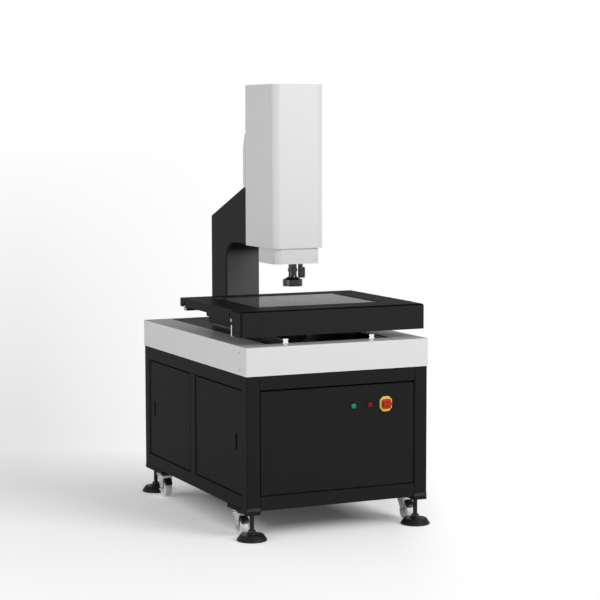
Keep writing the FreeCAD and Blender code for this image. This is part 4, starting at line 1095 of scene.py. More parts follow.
@dataclass
class FrontDevices:
    """Two push buttons and the main switch on the front panel."""

    CAP_FINISH = {"green_button": "button_green", "red_button": "button_red"}

    palette: Palette
    bezel_radius: float = 0.014
    bezel_height: float = 0.004
    barrel_radius: float = 0.011
    barrel_length: float = 0.026
    floor: float = 0.004
    plate_depth: float = 0.003
    plate_clip: float = 0.0125
    collar_radius: float = 0.021
    collar_height: float = 0.002
    body_half: float = 0.02
    handle_half: float = 0.0168
    handle_base: float = 0.006
    handle_corner: float = 0.006
    shaft_radius: float = 0.004
    grip_height: float = 0.009
    grip_half: float = 0.0055

    def bezels(self) -> None:
        """Make the two bezels with their barrels."""
        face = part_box("button_bezels")[0].y + self.bezel_height
        made = Solid()
        for name in self.CAP_FINISH:
            cap_low, cap_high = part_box(name)
            bore = (cap_high.x - cap_low.x) / 2 + 0.00005
            r = self.bezel_radius
            h = self.bezel_height
            at = (middle(name).x, face, middle(name).z)
            made.turned([(0, self.barrel_length - self.floor), (bore, self.barrel_length - self.floor),
                         (bore, -h + 0.0006), (bore + 0.0006, -h), (bore + 0.0018, -h),
                         (bore + 0.0022, -h + 0.0005), (r - 0.0022, -h + 0.0007),
                         (r - 0.0006, -0.0018), (r, -0.0008), (r, 0), (self.barrel_radius, 0),
                         (self.barrel_radius, self.barrel_length), (0, self.barrel_length)],
                        at, Axis.Y, 56)
        made.piece("bezels", self.palette["bezel_metal"], "base", "bezel_metal", ["button_bezels"])

    def caps(self) -> None:
        """Make the two domed caps."""
        for name, finish in self.CAP_FINISH.items():
            low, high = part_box(name)
            r = (high.x - low.x) / 2
            length = high.y - low.y
            profile = [(0, length), (r, length), (r, 0.0019), (r - 0.0003, 0.0012),
                       (r - 0.0012, 0.0006), (r - 0.0035, 0.0002), (r - 0.006, 0), (0, 0)]
            at = (middle(name).x, low.y, middle(name).z)
            made = Solid().turned(profile, at, Axis.Y, 48)
            made.piece(name + "_cap", self.palette[finish], name, finish, [name])

    def plate(self) -> None:
        """Make the yellow plate, its collar and the switch body."""
        low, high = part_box("switch_plate")
        front = low.y + self.collar_height
        back = front + self.plate_depth
        c = self.plate_clip
        at = middle("switch_plate")
        corners = [(low.x + c, low.z), (high.x - c, low.z), (high.x, low.z + c), (high.x, high.z - c),
                   (high.x - c, high.z), (low.x + c, high.z), (low.x, high.z - c), (low.x, low.z + c)]
        made = Solid().plate([(a, back, b) for a, b in corners], (0, -self.plate_depth, 0),
                             bevel=0.0008)
        made.turned([(0, front + 0.0004), (self.collar_radius, front + 0.0004),
                     (self.collar_radius, low.y + 0.0006), (self.collar_radius - 0.0006, low.y),
                     (self.collar_radius - 0.002, low.y), (self.collar_radius - 0.0026, low.y + 0.0005),
                     (0, low.y + 0.0005)], (at.x, 0, at.z), Axis.Y, 64)
        made.piece("switch_front", self.palette["switch_yellow"], "base", "switch_yellow",
                   ["switch_plate"])
        h = self.body_half
        rear = Solid().block((at.x - h, back, at.z - h), (at.x + h, high.y, at.z + h), 0.0015)
        rear.piece("switch_body", self.palette["bezel_metal"], "base", "bezel_metal")

    def handle(self) -> None:
        """Make the red handle: rounded base, tapered grip and the shaft."""
        low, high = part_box("switch_knob")
        at = middle("switch_knob")
        tip = low.y
        base = tip + self.grip_height
        back = base + self.handle_base
        h = self.handle_half
        r = self.handle_corner
        outline = []
        for sx, sz, start in ((1, 1, 0), (-1, 1, 90), (-1, -1, 180), (1, -1, 270)):
            outline += arc((at.x + sx * (h - r), at.z + sz * (h - r)), r, start, start + 90, 5)
        made = Solid().plate([(a, back, b) for a, b in outline], (0, base - back, 0), bevel=0.0012,
                             segments=3)
        g = self.grip_half
        section = [(at.z - g - 0.0012, base + 0.001), (at.z + g + 0.0012, base + 0.001),
                   (at.z + g, tip + 0.0012), (at.z + g - 0.0014, tip), (at.z - g + 0.0014, tip),
                   (at.z - g, tip + 0.0012)]
        made.plate([(at.x - h + 0.0012, b, a) for a, b in section], (2 * h - 0.0024, 0, 0),
                   bevel=0.0009)
        made.turned([(0, 0), (self.shaft_radius, 0), (self.shaft_radius, high.y - back),
                     (0, high.y - back)], (at.x, back, at.z), Axis.Y, 32)
        made.piece("switch_handle", self.palette["switch_red"], "switch_knob", "switch_red",
                   ["switch_knob"])

    def build(self) -> None:
        """Make all the devices."""
        self.bezels()
        self.caps()
        self.plate()
        self.handle()


@dataclass
class Optics:
    """Zoom lens, ring lamp and side lamp below the camera."""

    palette: Palette
    lens_radius: float = 0.015
    collar_radius: float = 0.0175
    collar_low: float = 0.893
    collar_high: float = 0.9035
    cone_height: float = 0.007
    cone_radius: float = 0.028
    cone_top_radius: float = 0.02
    bore: float = 0.022
    stem_radius: float = 0.009
    stem_x: float = 0.032
    grip_radius: float = 0.0125
    grip_x: float = 0.040
    grip_low: float = 0.8657
    grip_high: float = 0.9067
    zoom_grooves: Pair = (0.8815, 0.8875)
    tube_grooves: tuple[float, ...] = (0.911, 0.918, 0.93, 0.96)

    def grooves(self, heights: Sequence[float]) -> list[Pair]:
        """Section of narrow grooves round the lens at these heights."""
        r = self.lens_radius
        made = []
        for z in heights:
            made += [(r, z), (r - 0.0006, z + 0.0003), (r - 0.0006, z + 0.0011), (r, z + 0.0014)]
        return made

    def lens(self) -> None:
        """Make the lens body with its grooves, and its knurled ring."""
        low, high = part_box("lens_tube")
        at = (middle("lens_tube").x, middle("lens_tube").y, 0)
        r = self.lens_radius
        profile = [(0, low.z), (r + 0.0012, low.z), (r + 0.0004, low.z + 0.004), (r, low.z + 0.006)]
        profile += self.grooves(self.zoom_grooves)
        profile += [(r, self.collar_low - 0.001), (self.collar_radius - 0.0012, self.collar_low),
                    (self.collar_radius - 0.0012, self.collar_high), (r, self.collar_high + 0.0015)]
        profile += self.grooves(self.tube_grooves)
        profile += [(r, high.z - 0.001), (r - 0.001, high.z), (0, high.z)]
        black = self.palette["optics_black"]
        Solid().turned(profile, at, steps=64).piece("lens_body", black, "z_axis", "optics_black",
                                                    ["lens_tube"])
        ring = Solid().ribbed(self.collar_radius, 0.0005, 44,
                              (self.collar_low + 0.0008, self.collar_high - 0.0008), at)
        ring.piece("lens_grip", black, "z_axis", "optics_black")

    def ring(self) -> None:
        """Make the ring lamp with its cone and its white diffuser."""
        low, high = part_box("ring_light")
        at = (middle("ring_light").x, middle("ring_light").y, 0)
        r = (high.x - low.x) / 2
        top = high.z - self.cone_height
        body = [(self.bore, low.z + 0.0005), (self.bore + 0.0005, low.z), (self.bore + 0.0015, low.z),
                (self.bore + 0.0015, low.z + 0.004), (r - 0.0018, low.z + 0.004),
                (r - 0.0018, low.z), (r - 0.0006, low.z), (r, low.z + 0.0006), (r, low.z + 0.0045),
                (r - 0.0006, low.z + 0.005), (r - 0.0006, low.z + 0.006), (r, low.z + 0.0065),
                (r, top - 0.0014), (r - 0.0014, top), (self.cone_radius, top),
                (self.cone_radius - 0.0008, top + 0.0015), (self.cone_top_radius, high.z),
                (0, high.z), (0, high.z - 0.004), (self.bore - 0.004, high.z - 0.004)]
        Solid().turned(body, at, steps=96).piece(
            "ring_lamp", self.palette["optics_black"], "z_axis", "optics_black", ["ring_light"])
        face = Solid().turned([(self.bore + 0.0016, low.z + 0.001), (r - 0.0019, low.z + 0.001),
                               (r - 0.0019, low.z + 0.0039), (self.bore + 0.0016, low.z + 0.0039)],
                              at, steps=96, closed=True)
        face.piece("ring_diffuser", self.palette["diffuser_white"], "z_axis")

    def side(self) -> None:
        """Make the side lamp: upright stem and ribbed grip."""
        low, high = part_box("side_light")
        y = (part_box("lens_tube")[0].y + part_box("lens_tube")[1].y) / 2
        r = self.stem_radius
        clear = low.z + self.cone_height + 0.0002
        stem = Solid().turned([(0, clear), (r - 0.0008, clear), (r, clear + 0.0008),
                               (r, high.z - 0.012), (r - 0.0006, high.z - 0.0115),
                               (r - 0.0006, high.z - 0.0015), (r - 0.002, high.z), (0, high.z)],
                              (self.stem_x, y + 0.002, 0), steps=48)
        black = self.palette["optics_black"]
        stem.piece("side_lamp", black, "z_axis", "optics_black", ["side_light"])
        at = (self.grip_x, y + 0.008, 0)
        g = self.grip_radius
        grip = Solid().ribbed(g, 0.0007, 26, (self.grip_low + 0.0065, self.grip_high - 0.003), at)
        for low_z, high_z in ((self.grip_low + 0.0025, self.grip_low + 0.0065),
                              (self.grip_high - 0.003, self.grip_high)):
            grip.turned([(0, low_z), (g - 0.0022, low_z), (g - 0.0004, low_z + 0.0014),
                         (g - 0.0004, high_z - 0.0014), (g - 0.0022, high_z), (0, high_z)],
                        at, steps=48)
        grip.piece("side_grip", black, "z_axis", "optics_black")

    def build(self) -> None:
        """Make all the optics."""
        self.lens()
        self.ring()
        self.side()


@dataclass
class GuideRails:
    """Profile rails of the three axes, with screw holes, caps and end plates; the bright end plates of the
    Y rails are a painted highlight.
    """

    palette: Palette
    wide: float = 0.020
    tall: float = 0.017
    narrow: float = 0.015
    low: float = 0.015
    waist: float = 0.002
    pitch: float = 0.060
    slab: float = 0.0012
    end_plate: float = 0.0006
    cap_gap: float = 0.0003
    pad_bevel: float = 0.0008
    pad_depth: float = 0.003
    pad_half: float = 0.013
    pad_height: float = 0.011
    carrier_front: float = 0.015
    carrier_rear: float = 0.030
    front_inset: float = 0.015
    rear_inset: float = 0.016

    def section(self, width: float, height: float, top: float) -> list[Pair]:
        """Outline of a rail up to a height, as (across, up) pairs."""
        half = width / 2
        neck = half - self.waist
        side = [(half - 0.0004, 0.0), (half, 0.0004), (half, 0.3 * height), (neck, 0.45 * height),
                (neck, 0.6 * height), (half, 0.75 * height), (half, top - 0.001), (half - 0.001, top)]
        return side + [(-a, b) for a, b in reversed(side)]

    def rail(self, body: str, solids: dict[str, Solid], start: Vector, along: Vector, up: Vector,
             length: float, width: float, height: float) -> None:
        """Add one rail, its screw caps and its end plates.

        Args:
            body: the CAD body that it belongs to, for the log.
            solids: where the bar, the caps and the ends are gathered.
            start: middle of the foot at the first end.
            along: direction of the rail.
            up: direction in which it stands.
            length: its length.
            width: its width.
            height: its height.
        """
        across = along.cross(up)
        top = height - self.slab

        def at(a: float, b: float, c: float) -> Vector:
            """Point from distances across, up and along the rail."""
            return start + across * a + up * b + along * c

        e = self.end_plate
        outline = self.section(width, height, top)
        solids["bar"].plate([at(a, b, e) for a, b in outline], along * (length - 2 * e))
        for c in (0.0, length - e):
            full = self.section(width, height, height)
            solids["ends"].plate([at(a, b, c) for a, b in full], along * e)
        half = width / 2 - 0.001
        count = int((length - 0.02) / self.pitch)
        first = (length - count * self.pitch) / 2
        radius = 0.24 * width
        holes = []
        for i in range(count + 1):
            c = first + i * self.pitch
            ring = arc((0.0, c), radius, 0, 360 - 18, 19)
            holes.append([at(a, top, b) for a, b in ring])
            turn = up.to_track_quat("Z", "Y").to_matrix().to_4x4()
            part = bmesh.new()
            bmesh.ops.create_cone(part, cap_ends=True, segments=20, radius1=radius - 0.0001,
                                  radius2=radius - 0.0001, depth=self.slab - self.cap_gap)
            middle_height = top + (self.slab - self.cap_gap) / 2
            solids["caps"].take(part, Matrix.Translation(at(0, middle_height, c)) @ turn)
        corners = [at(-half, top, e), at(half, top, e), at(half, top, length - e),
                   at(-half, top, length - e)]
        solids["bar"].plate(corners, up * self.slab, holes)
        LOG.info("rail of %s, %d screw caps", body, count + 1)

    def pair(self, node: str, body: str, rails: Sequence[tuple], extra: Sequence[tuple] = (),
             ends: str = "guide_steel") -> None:
        """Make a pair of rails as three pieces.

        Args:
            node: the CAD node that the rails replace.
            body: the CAD body that they move with.
            rails: start, direction, up, length, width and height of each rail.
            extra: low and high corners of pads at the ends.
            ends: finish of the end plates and pads.
        """
        solids = {"bar": Solid(), "caps": Solid(), "ends": Solid()}
        for row in rails:
            self.rail(body, solids, *row)
        for low, high in extra:
            solids["ends"].block(low, high, self.pad_bevel)
        solids["bar"].piece(node + "_bar", self.palette["guide_steel"], body, "guide_steel", [node])
        solids["caps"].piece(node + "_caps", self.palette["bezel_metal"], body)
        solids["ends"].piece(node + "_ends", self.palette[ends], body)

    def build(self) -> None:
        """Make the rails of the Y, X and Z axes."""
        x, y, z = Vector((1, 0, 0)), Vector((0, 1, 0)), Vector((0, 0, 1))
        low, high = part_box("y_rails")
        middle_x = high.x - self.wide / 2
        rows = [(Vector((side * middle_x, low.y, low.z)), y, z, high.y - low.y, self.wide, self.tall)
                for side in (-1, 1)]
        # Painted highlight: the Y rails' end plates get a bright finish, standing for rail ends lit from
        # the front.
        self.pair("y_rails", "base", rows, ends="bright_aluminium")
        low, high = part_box("x_rails")
        foot = high.z - self.low
        half = high.x - self.pad_depth
        rows = []
        pads = []
        saddle_low, saddle_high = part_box("y_saddle")
        carrier = (saddle_low.y + self.carrier_front, saddle_high.y - self.carrier_rear)
        for line, centre in zip((low.y + self.front_inset, high.y - self.rear_inset), carrier):
            rows.append((Vector((-half, line, foot)), x, z, 2 * half, self.narrow, self.low))
            for side in (-1, 1):
                ends = sorted((side * half, side * high.x))
                pads.append(((ends[0], centre - self.pad_half, low.z),
                             (ends[1], centre + self.pad_half, low.z + self.pad_height)))
        self.pair("x_rails", "y_stage", rows, pads)
        low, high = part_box("z_rails")
        middle_x = high.x - self.narrow / 2
        rows = [(Vector((side * middle_x, high.y, low.z)), z, -y, high.z - low.z, self.narrow, self.low)
                for side in (-1, 1)]
        self.pair("z_rails", "base", rows)


@dataclass
class ScrewDrives:
    """Lead screws of the three axes, with their bearings and motors."""

    palette: Palette
    pitch: float = 0.005
    depth: float = 0.0006
    small: float = 0.006
    large: float = 0.008
    bearing: float = 0.015
    bell: float = 0.012
    ring: float = 0.0005
    motor_length: float = 0.065
    y_motor_half: float = 0.020
    y_flange_half: float = 0.024
    y_flange_depth: float = 0.006
    y_screw_above: float = 0.021
    y_block_half: float = 0.017
    x_motor_half: float = 0.014
    x_block_front: float = 0.015
    block_cover: float = 0.011
    z_motor_height: float = 0.076
    z_screw_behind: float = 0.0285

    def motor(self, name: str, body: str, low: Vector, high: Vector, axis: Axis) -> None:
        """Make a square motor: stator between two end bells, with screws in the far one.

        Args:
            name: the piece's name.
            body: the CAD body that it moves with.
            low: lower corner of its box.
            high: upper corner of its box.
            axis: the axis of its shaft, which points to the screw's far side.
        """
        index = "xyz".index(axis.value)
        bells = Solid()
        for ends in ((low[index], low[index] + self.bell), (high[index] - self.bell, high[index] - 0.001)):
            a, b = low.copy(), high.copy()
            a[index], b[index] = ends
            bells.block(a, b, 0.0018, 3)
        stator = Solid()
        a, b = low + Vector((0.0006,) * 3), high - Vector((0.0006,) * 3)
        a[index], b[index] = low[index] + self.bell, high[index] - self.bell
        stator.block(a, b, 0.003, 3)
        centre = (low + high) / 2
        out = Vector([1.0 if i == index else 0.0 for i in range(3)])
        across = [Vector([1.0 if i == j else 0.0 for i in range(3)]) for j in range(3) if j != index]
        reach = 0.36 * (high[(index + 2) % 3] - low[(index + 2) % 3])
        screws = Solid()
        for sx in (-1, 1):
            for sy in (-1, 1):
                at = centre + across[0] * sx * reach + across[1] * sy * reach
                at[index] = high[index] - 0.001
                screws.socket_screw(at, out, 0.0021, 0.0009)
        bells.piece(name + "_bells", self.palette["drive_steel"], body, "drive_steel")
        stator.piece(name + "_stator", self.palette["bezel_metal"], body)
        screws.piece(name + "_screws", self.palette["pin_steel"], body, "pin_steel")

    def bearing_block(self, solid: Solid, low: Sequence[float], high: Sequence[float], axis: Axis,
                      centre: Sequence[float]) -> None:
        """Add a bearing block with a raised cover ring on both ends."""
        index = "xyz".index(axis.value)
        a, b = Vector(low), Vector(high)
        a[index] += self.ring
        b[index] -= self.ring
        solid.block(a, b, 0.001)
        length = high[index] - low[index]
        at = Vector(centre)
        at[index] = low[index]
        solid.turned([(self.small + 0.0002, 0), (0.0098, 0), (0.0103, self.ring),
                      (0.0103, length - self.ring), (0.0098, length), (self.small + 0.0002, length)],
                     at, axis, 40, closed=True)

    def along_y(self) -> None:
        """Make the Y drive beside the saddle's window."""
        low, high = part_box("y_drive")
        x = low.x + self.y_flange_half
        z = low.z + self.y_screw_above
        rear = high.y - self.motor_length
        screw = Solid().turned(thread(self.small, self.depth, self.bearing, rear - low.y - self.bearing,
                                      self.pitch), (x, low.y, z), Axis.Y, 28)
        screw.turned([(0, 0.001), (self.small - 0.0004, 0.001), (self.small - 0.0004, self.bearing),
                      (0, self.bearing)], (x, low.y, z), Axis.Y, 28)
        screw.piece("y_screw", self.palette["drive_steel"], "base", "drive_steel", ["y_drive"])
        made = Solid()
        made.turned([(0, 0), (self.small, 0), (self.small + 0.0004, 0.0004), (self.small + 0.0004, 0.0007),
                     (0, 0.0007)], (x, low.y, z), Axis.Y, 32)
        for y in (low.y, rear - self.bearing):
            self.bearing_block(made, (x - self.y_block_half, y, low.z),
                               (x + self.y_block_half, y + self.bearing, z + self.block_cover),
                               Axis.Y, (x, y, z))
        made.piece("y_bearings", self.palette["saddle_grey"], "base")
        m = self.y_motor_half
        face = rear + self.y_flange_depth
        flange = Solid().block((x - self.y_flange_half, rear, low.z),
                               (x + self.y_flange_half, face, z + m), 0.0012)
        flange.piece("y_flange", self.palette["saddle_grey"], "base")
        self.motor("y_motor", "base", Vector((x - m, face, z - m)), Vector((x + m, high.y, z + m)),
                   Axis.Y)

    def along_x(self) -> None:
        """Make the X drive behind the saddle."""
        low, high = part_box("x_drive")
        m = self.x_motor_half
        y = high.y - m
        z = high.z - m
        end = high.x - self.motor_length
        screw = Solid().turned(thread(self.small, self.depth, self.bearing, end - low.x - self.bearing,
                                      self.pitch), (low.x, y, z), Axis.X, 28)
        screw.piece("x_screw", self.palette["drive_steel"], "y_stage", "drive_steel", ["x_drive"])
        made = Solid()
        for x in (low.x, end - self.bearing):
            self.bearing_block(made, (x, y - self.x_block_front, z - self.block_cover),
                               (x + self.bearing, y + self.block_cover, z + self.block_cover),
                               Axis.X, (x, y, z))
        made.piece("x_bearings", self.palette["saddle_grey"], "y_stage")
        self.motor("x_motor", "y_stage", Vector((end, y - m, z - m)), Vector((high.x, y + m, z + m)),
                   Axis.X)

    def along_z(self) -> None:
        """Make the Z drive inside the head."""
        low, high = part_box("z_drive")
        y = low.y + self.z_screw_behind
        base = high.z - self.z_motor_height
        screw = Solid().turned(thread(self.large, self.depth, 0.0, base - low.z, self.pitch),
                               (0, y, low.z), Axis.Z, 32)
        screw.piece("z_screw", self.palette["drive_steel"], "base", "drive_steel", ["z_drive"])
        self.motor("z_motor", "base", Vector((low.x, low.y, base)), Vector((high.x, high.y, high.z)),
                   Axis.Z)

    def build(self) -> None:
        """Make the three drives."""
        self.along_y()
        self.along_x()
        self.along_z()


@dataclass
class Backlight:
    """Lamp under the glass: finned round housing with a white lens."""

    palette: Palette
    base_radius: float = 0.050
    base_height: float = 0.010
    radius: float = 0.044
    height: float = 0.062
    lens_radius: float = 0.038
    groove: float = 0.0025
    groove_count: int = 7
    groove_pitch: float = 0.006
    screw_circle: float = 0.0472

    def build(self) -> None:
        """Make the housing, the lens and four screws."""
        low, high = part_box("backlight")
        at = ((low.x + high.x) / 2, (low.y + high.y) / 2, low.z)
        r = self.radius
        profile = [(0, 0), (self.base_radius - 0.0006, 0), (self.base_radius, 0.0006),
                   (self.base_radius, self.base_height - 0.001),
                   (self.base_radius - 0.001, self.base_height), (r, self.base_height + 0.002)]
        for i in range(self.groove_count):
            z = self.base_height + self.groove_pitch * (i + 1)
            profile += [(r, z), (r - self.groove, z + 0.0003), (r - self.groove, z + 0.0027),
                        (r, z + 0.003)]
        profile += [(r, self.height - 0.0024), (r - 0.0022, self.height), (self.lens_radius, self.height),
                    (self.lens_radius, self.height - 0.002), (0, self.height - 0.002)]
        housing = Solid().turned(profile, at, steps=72)
        housing.piece("backlight_housing", self.palette["lamp_housing"], "base", "lamp_housing",
                      ["backlight"])
        lens = [(0, self.height - 0.0018), (self.lens_radius - 0.0003, self.height - 0.0018),
                (self.lens_radius - 0.0003, self.height + 0.002),
                (self.lens_radius - 0.0012, self.height + 0.0038),
                (self.lens_radius - 0.0032, self.height + 0.0055), (0, high.z - low.z)]
        Solid().turned(lens, at, steps=64).piece("backlight_lens", self.palette["diffuser_white"],
                                                 "base")
        screws = Solid()
        for i in range(4):
            a = math.radians(45 + 90 * i)
            place = (at[0] + self.screw_circle * math.cos(a), at[1] + self.screw_circle * math.sin(a),
                     low.z + self.base_height)
            screws.socket_screw(place, (0, 0, 1), 0.0019, 0.0011)
        screws.piece("backlight_screws", self.palette["pin_steel"], "base", "pin_steel")


@dataclass
class Fasteners:
    """Screws of the skirt, and seals of the bearing blocks."""

    palette: Palette
    seal: float = 0.0012
    top_gap: float = 0.0012
    block_half: float = 0.021
    block_length: float = 0.067
    leg_aside: float = 0.0156
    leg_half: float = 0.0048
    leg_drop: float = 0.0215
    crown_half: float = 0.0108
    crown_drop: float = 0.0098

    def skirt(self) -> None:
        """Make the pan-head screws on both sides of the skirt."""
        low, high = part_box("skirt_screws")
        radius = (high.y - low.y) / 2
        y = (low.y + high.y) / 2
        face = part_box("skirt_front")[1].x
        made = Solid()
        for side in (-1, 1):
            for z in (low.z + radius, high.z - radius):
                made.socket_screw((side * face, y, z), (side, 0, 0), radius, high.x - face)
        made.piece("skirt_screw_heads", self.palette["pin_steel"], "base", None, ["skirt_screws"])

    def seals(self) -> None:
        """Make the dark end seals of the four Y blocks."""
        low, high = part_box("y_blocks")
        made = Solid()
        top = high.z - self.top_gap
        half = self.seal / 2
        for side in (-1, 1):
            centre = side * (high.x - self.block_half)
            for y in (low.y, low.y + self.block_length, high.y - self.block_length, high.y):
                for sx in (-1, 1):
                    x = centre + sx * self.leg_aside
                    made.block((x - self.leg_half, y - half, high.z - self.leg_drop),
                               (x + self.leg_half, y + half, top), 0.0004)
                made.block((centre - self.crown_half, y - half, high.z - self.crown_drop),
                           (centre + self.crown_half, y + half, top), 0.0004)
        made.piece("y_block_seals", self.palette["bezel_metal"], "y_stage")

    def build(self) -> None:
        """Make all the fasteners and seals."""
        self.skirt()
        self.seals()


@dataclass
class CabinetTrim:
    """End caps under the cabinet's front posts, and black strips of painted shade beside its middle posts.
    """

    palette: Palette
    cap_height: float = 0.0115
    cap_width: float = 0.0496
    proud: float = 0.0003
    strip_width: float = 0.0028
    tube: float = 0.050

    def build(self) -> None:
        """Make the caps and the strips."""
        low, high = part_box("cabinet_frame")
        caps = Solid()
        for side in (-1, 1):
            xs = sorted((side * high.x, side * (high.x - self.cap_width)))
            caps.block((xs[0], low.y - self.proud, low.z + 0.0004),
                       (xs[1], low.y + 0.0016, low.z + self.cap_height), 0.0007)
        caps.piece("post_end_caps", self.palette["end_cap"], "base")
        door_low, door_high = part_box("door_left_rear")
        # Painted shade: black strips stand for the dark gaps between the middle posts and the rear doors.
        strips = Solid()
        for side in (-1, 1):
            xs = sorted((side * (high.x + self.proud), side * (high.x - 0.001)))
            edge = self.tube / 2 - 0.0004
            strips.block((xs[0], edge - self.strip_width, door_low.z), (xs[1], edge, door_high.z), 0.0003)
        strips.piece("door_stop_strips", self.palette["shadow_black"], "base")


@dataclass
class ApronEdgeShade:
    """Black strip of painted shade along the upper front edge of the stage's apron."""

    palette: Palette
    height: float = 0.0034
    proud: float = 0.0003
    depth: float = 0.0026
    inset: float = 0.0102

    def build(self) -> None:
        """Make the strip with its rounded ends."""
        low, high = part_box("stage_apron")
        top = high.z - 0.0008
        a, b = low.x + self.inset, high.x - self.inset
        r = self.height / 2
        outline = arc((b - r, top - r), r, -90, 90, 8) + arc((a + r, top - r), r, 90, 270, 8)
        face = low.y - self.proud
        strip = Solid().plate([(p, face, q) for p, q in outline], (0, self.depth, 0), bevel=0.0004)
        # Painted shade of the apron's rounded upper edge.
        strip.piece("apron_strip", self.palette["shadow_black"], "x_stage")


class Studio:
    """Floor, backdrop light, lamps and the camera."""

    CAMERA_AT = (-2.77047, -6.23891, 1.42559)
    CAMERA_YAW = 24.588
    CAMERA_DOWN = 5.424
    CAMERA_ROLL = -0.099
    LENS = 110.889
    SENSOR = 36.0
    FLOOR_GAIN = 1.15
    FLOOR_GLOW = 0.25
    # Painted shadow: the floor under the cabinet is seen darker through these gains and glows.
    PAINTED_SHADE_GAIN = 0.6
    PAINTED_SHADE_GLOW = 0.035
    PAINTED_SHADE_HALF = (0.31, 0.44)
    PAINTED_SHADE_EDGE = (-0.16, 0.02)
    LEFT_SHADE = 0.225
    LEFT_SPAN = (-0.14, -0.03)
    SHADE_SLOPE = 0.164
    VIEW_WAY = (0.416, 0.909)
    VIEW_REACH = 6.83
    VIEW_HEIGHT = 1.4256
    CLEAR_AWAY = (0.35, 1.25)
    CLEAR_SPAN = (2.4, 4.0)
    CLEAR_ASIDE = (0.4, 0.62)
    FLOOR_HALF = 90.0
    FAR_CLIP = 300.0
    SKY_LIGHT = (0.05, 0.75, 0.59, 0.22)
    SKY_BAND = (0.055, 0.1, 1.0, 0.26)
    SKY_FALL = (0.105, 0.8, 1.0, 0.5)

    def camera(self) -> bpy.types.Object:
        """Camera at the place and angle from which the machine is seen."""
        data = bpy.data.cameras.new("camera")
        data.lens = self.LENS
        data.sensor_width = self.SENSOR
        data.clip_end = self.FAR_CLIP
        made = bpy.data.objects.new("camera_eye", data)
        bpy.context.scene.collection.objects.link(made)
        turn = (Matrix.Rotation(math.radians(-self.CAMERA_YAW), 4, "Z")
                @ Matrix.Rotation(math.radians(90 - self.CAMERA_DOWN), 4, "X")
                @ Matrix.Rotation(math.radians(self.CAMERA_ROLL), 4, "Z"))
        made.matrix_world = Matrix.Translation(Vector(self.CAMERA_AT)) @ turn
        bpy.context.scene.camera = made
        return made

    def floor(self) -> None:
        """Wide pale floor that keeps the machine's shadow, darkened under the cabinet by a painted shadow.
        """
        material = bpy.data.materials.new("floor_pale")
        material.use_nodes = True
        material.node_tree.nodes.clear()
        g = Graph(material.node_tree)
        where = g.add("ShaderNodeTexCoord").outputs["Object"]
        cloud = g.add("ShaderNodeTexNoise", {"Vector": where, "Scale": 0.8, "Detail": 2.0})
        tone = g.blend(g.ranged(cloud.outputs[0], 0.3, 0.7, 0.0, 1.0), (0.9, 0.9, 0.9, 1.0),
                       (0.93, 0.93, 0.93, 1.0))
        matt = g.add("ShaderNodeBsdfDiffuse", {"Color": tone})
        axes = g.add("ShaderNodeSeparateXYZ", {0: where}).outputs
        # Painted shadow: a soft box under the cabinet where the floor's gain and glow are lowered.
        half_x = g.math("SUBTRACT", g.math("ABSOLUTE", axes["X"]), self.PAINTED_SHADE_HALF[0])
        half_y = g.math("SUBTRACT", g.math("ABSOLUTE", axes["Y"]), self.PAINTED_SHADE_HALF[1])
        inside = g.math("MAXIMUM", half_x, half_y)
        under = g.ranged(inside, *self.PAINTED_SHADE_EDGE, self.PAINTED_SHADE_GAIN, self.FLOOR_GAIN)
        pale = g.add("ShaderNodeBsdfDiffuse", {"Color": under})
        lift = g.ranged(inside, *self.PAINTED_SHADE_EDGE, self.PAINTED_SHADE_GLOW, self.FLOOR_GLOW)
        glow = g.add("ShaderNodeEmission", {"Color": rgba(WHITE), "Strength": lift})
        lifted = g.add("ShaderNodeAddShader")
        g.tree.links.new(pale.outputs[0], lifted.inputs[0])
        g.tree.links.new(glow.outputs[0], lifted.inputs[1])
        sine, cosine = self.VIEW_WAY
        away = g.math("ADD", g.math("MULTIPLY", axes["X"], sine),
                      g.math("MULTIPLY", axes["Y"], cosine))
        aside = g.math("SUBTRACT", g.math("MULTIPLY", axes["X"], cosine),
                       g.math("MULTIPLY", axes["Y"], sine))
        reach = g.math("ADD", away, self.VIEW_REACH)
        depth = g.math("DIVIDE", self.VIEW_HEIGHT, reach)
        shade = g.ranged(depth, 0.0, self.SHADE_SLOPE, 0.0, self.LEFT_SHADE)
        left = g.ranged(g.math("DIVIDE", aside, reach), *self.LEFT_SPAN, 1.0, 0.0)
        level = g.math("SUBTRACT", 1.0, g.math("MULTIPLY", shade, left))
        backdrop = g.add("ShaderNodeEmission", {"Color": rgba(WHITE), "Strength": level})
        span = g.add("ShaderNodeVectorMath", {0: where}, operation="LENGTH").outputs["Value"]
        far = g.math("MAXIMUM", g.ranged(away, *self.CLEAR_AWAY, 0.0, 1.0),
                     g.ranged(span, *self.CLEAR_SPAN, 0.0, 1.0))
        clear = g.math("MAXIMUM", far, g.ranged(aside, *self.CLEAR_ASIDE, 0.0, 1.0))
        sweep = g.add("ShaderNodeMixShader", {0: clear, 1: lifted.outputs[0], 2: backdrop.outputs[0]})
        path = g.add("ShaderNodeLightPath")
        seen = g.math("MAXIMUM", path.outputs["Is Camera Ray"],
                      g.math("MAXIMUM", path.outputs["Is Glossy Ray"],
                             path.outputs["Is Transmission Ray"]))
        pick = g.add("ShaderNodeMixShader", {0: seen, 1: matt.outputs[0], 2: sweep.outputs[0]})
        g.add("ShaderNodeOutputMaterial", {"Surface": pick.outputs[0]})
        half = self.FLOOR_HALF
        mesh = bpy.data.meshes.new("floor")
        mesh.from_pydata([(-half, -half, 0), (half, -half, 0), (half, half, 0), (-half, half, 0)],
                         [], [(0, 1, 2, 3)])
        mesh.materials.append(material)
        made = bpy.data.objects.new("floor", mesh)
        bpy.context.scene.collection.objects.link(made)

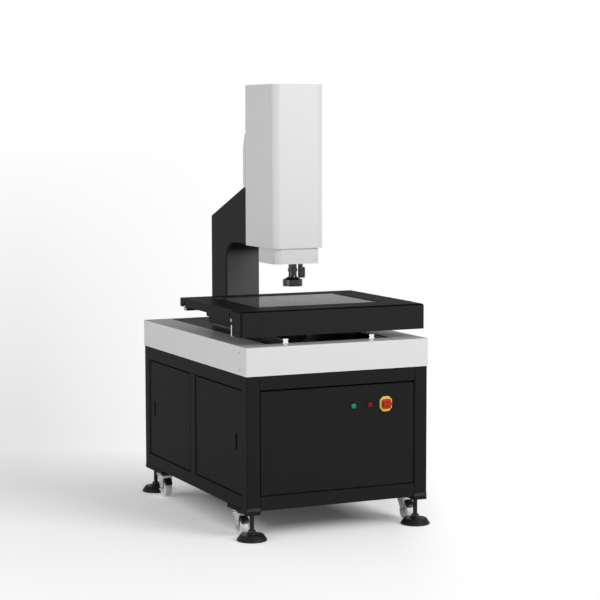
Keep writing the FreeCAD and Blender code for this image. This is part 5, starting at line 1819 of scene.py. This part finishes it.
    def world(self) -> None:
        """Even light from the horizon that falls off towards the zenith."""
        world = bpy.data.worlds.new("studio")
        world.use_nodes = True
        world.node_tree.nodes.clear()
        g = Graph(world.node_tree)
        way = g.add("ShaderNodeTexCoord").outputs["Generated"]
        height = g.add("ShaderNodeSeparateXYZ", {0: way}).outputs["Z"]
        level = g.ranged(height, *self.SKY_LIGHT)
        light = g.add("ShaderNodeBackground", {"Color": rgba(WHITE), "Strength": level})
        shown_level = g.math("MULTIPLY", g.ranged(height, *self.SKY_BAND),
                             g.ranged(height, *self.SKY_FALL))
        mirror = g.add("ShaderNodeBackground", {"Color": rgba(WHITE), "Strength": shown_level})
        plain = g.add("ShaderNodeBackground", {"Color": rgba(WHITE), "Strength": 1.0})
        path = g.add("ShaderNodeLightPath")
        bounced = g.math("MAXIMUM", path.outputs["Is Glossy Ray"],
                         path.outputs["Is Transmission Ray"])
        first = g.add("ShaderNodeMixShader", {0: bounced, 1: light.outputs[0],
                                              2: mirror.outputs[0]})
        pick = g.add("ShaderNodeMixShader", {0: path.outputs["Is Camera Ray"],
                                             1: first.outputs[0], 2: plain.outputs[0]})
        g.add("ShaderNodeOutputWorld", {"Surface": pick.outputs[0]})
        bpy.context.scene.world = world

    def lamp(self, name: str, at: Sequence[float], aim: Sequence[float], size: float,
             watts: float) -> None:
        """Square soft lamp.

        Args:
            name: the lamp's name.
            at: where it stands.
            aim: the point that it faces.
            size: side of its square.
            watts: its power.
        """
        data = bpy.data.lights.new(name, "AREA")
        data.shape = "SQUARE"
        data.size = size
        data.energy = watts
        made = bpy.data.objects.new(name, data)
        bpy.context.scene.collection.objects.link(made)
        facing = (Vector(aim) - Vector(at)).to_track_quat("-Z", "Y")
        made.matrix_world = Matrix.Translation(Vector(at)) @ facing.to_matrix().to_4x4()

    def lamps(self) -> None:
        """Key light from the front right and a weak fill from the left."""
        self.lamp("key", (3.3, -6.9, 3.7), (0, 0, 0.8), 4.0, 340)
        self.lamp("fill", (-5.0, -1.0, 1.6), (0, 0, 0.8), 3.0, 64)

    def build(self) -> None:
        """Set up the whole studio."""
        self.camera()
        self.floor()
        self.world()
        self.lamps()
        bpy.context.scene.view_settings.view_transform = "Standard"


def main() -> None:
    """Build the studio and dress the machine."""
    logging.basicConfig(level=logging.INFO, format="%(name)s: %(message)s")
    palette = Palette()
    Studio().build()
    CadDress(palette).dress()
    for corner in Corner:
        LevellingFoot(corner, palette).build()
        Caster(corner, palette).build()
    for assembly in (CasterTops, FrontDevices, Optics, GuideRails, ScrewDrives, Backlight,
                     Fasteners, CabinetTrim, ApronEdgeShade):
        assembly(palette).build()


if __name__ == "__main__":
    main()
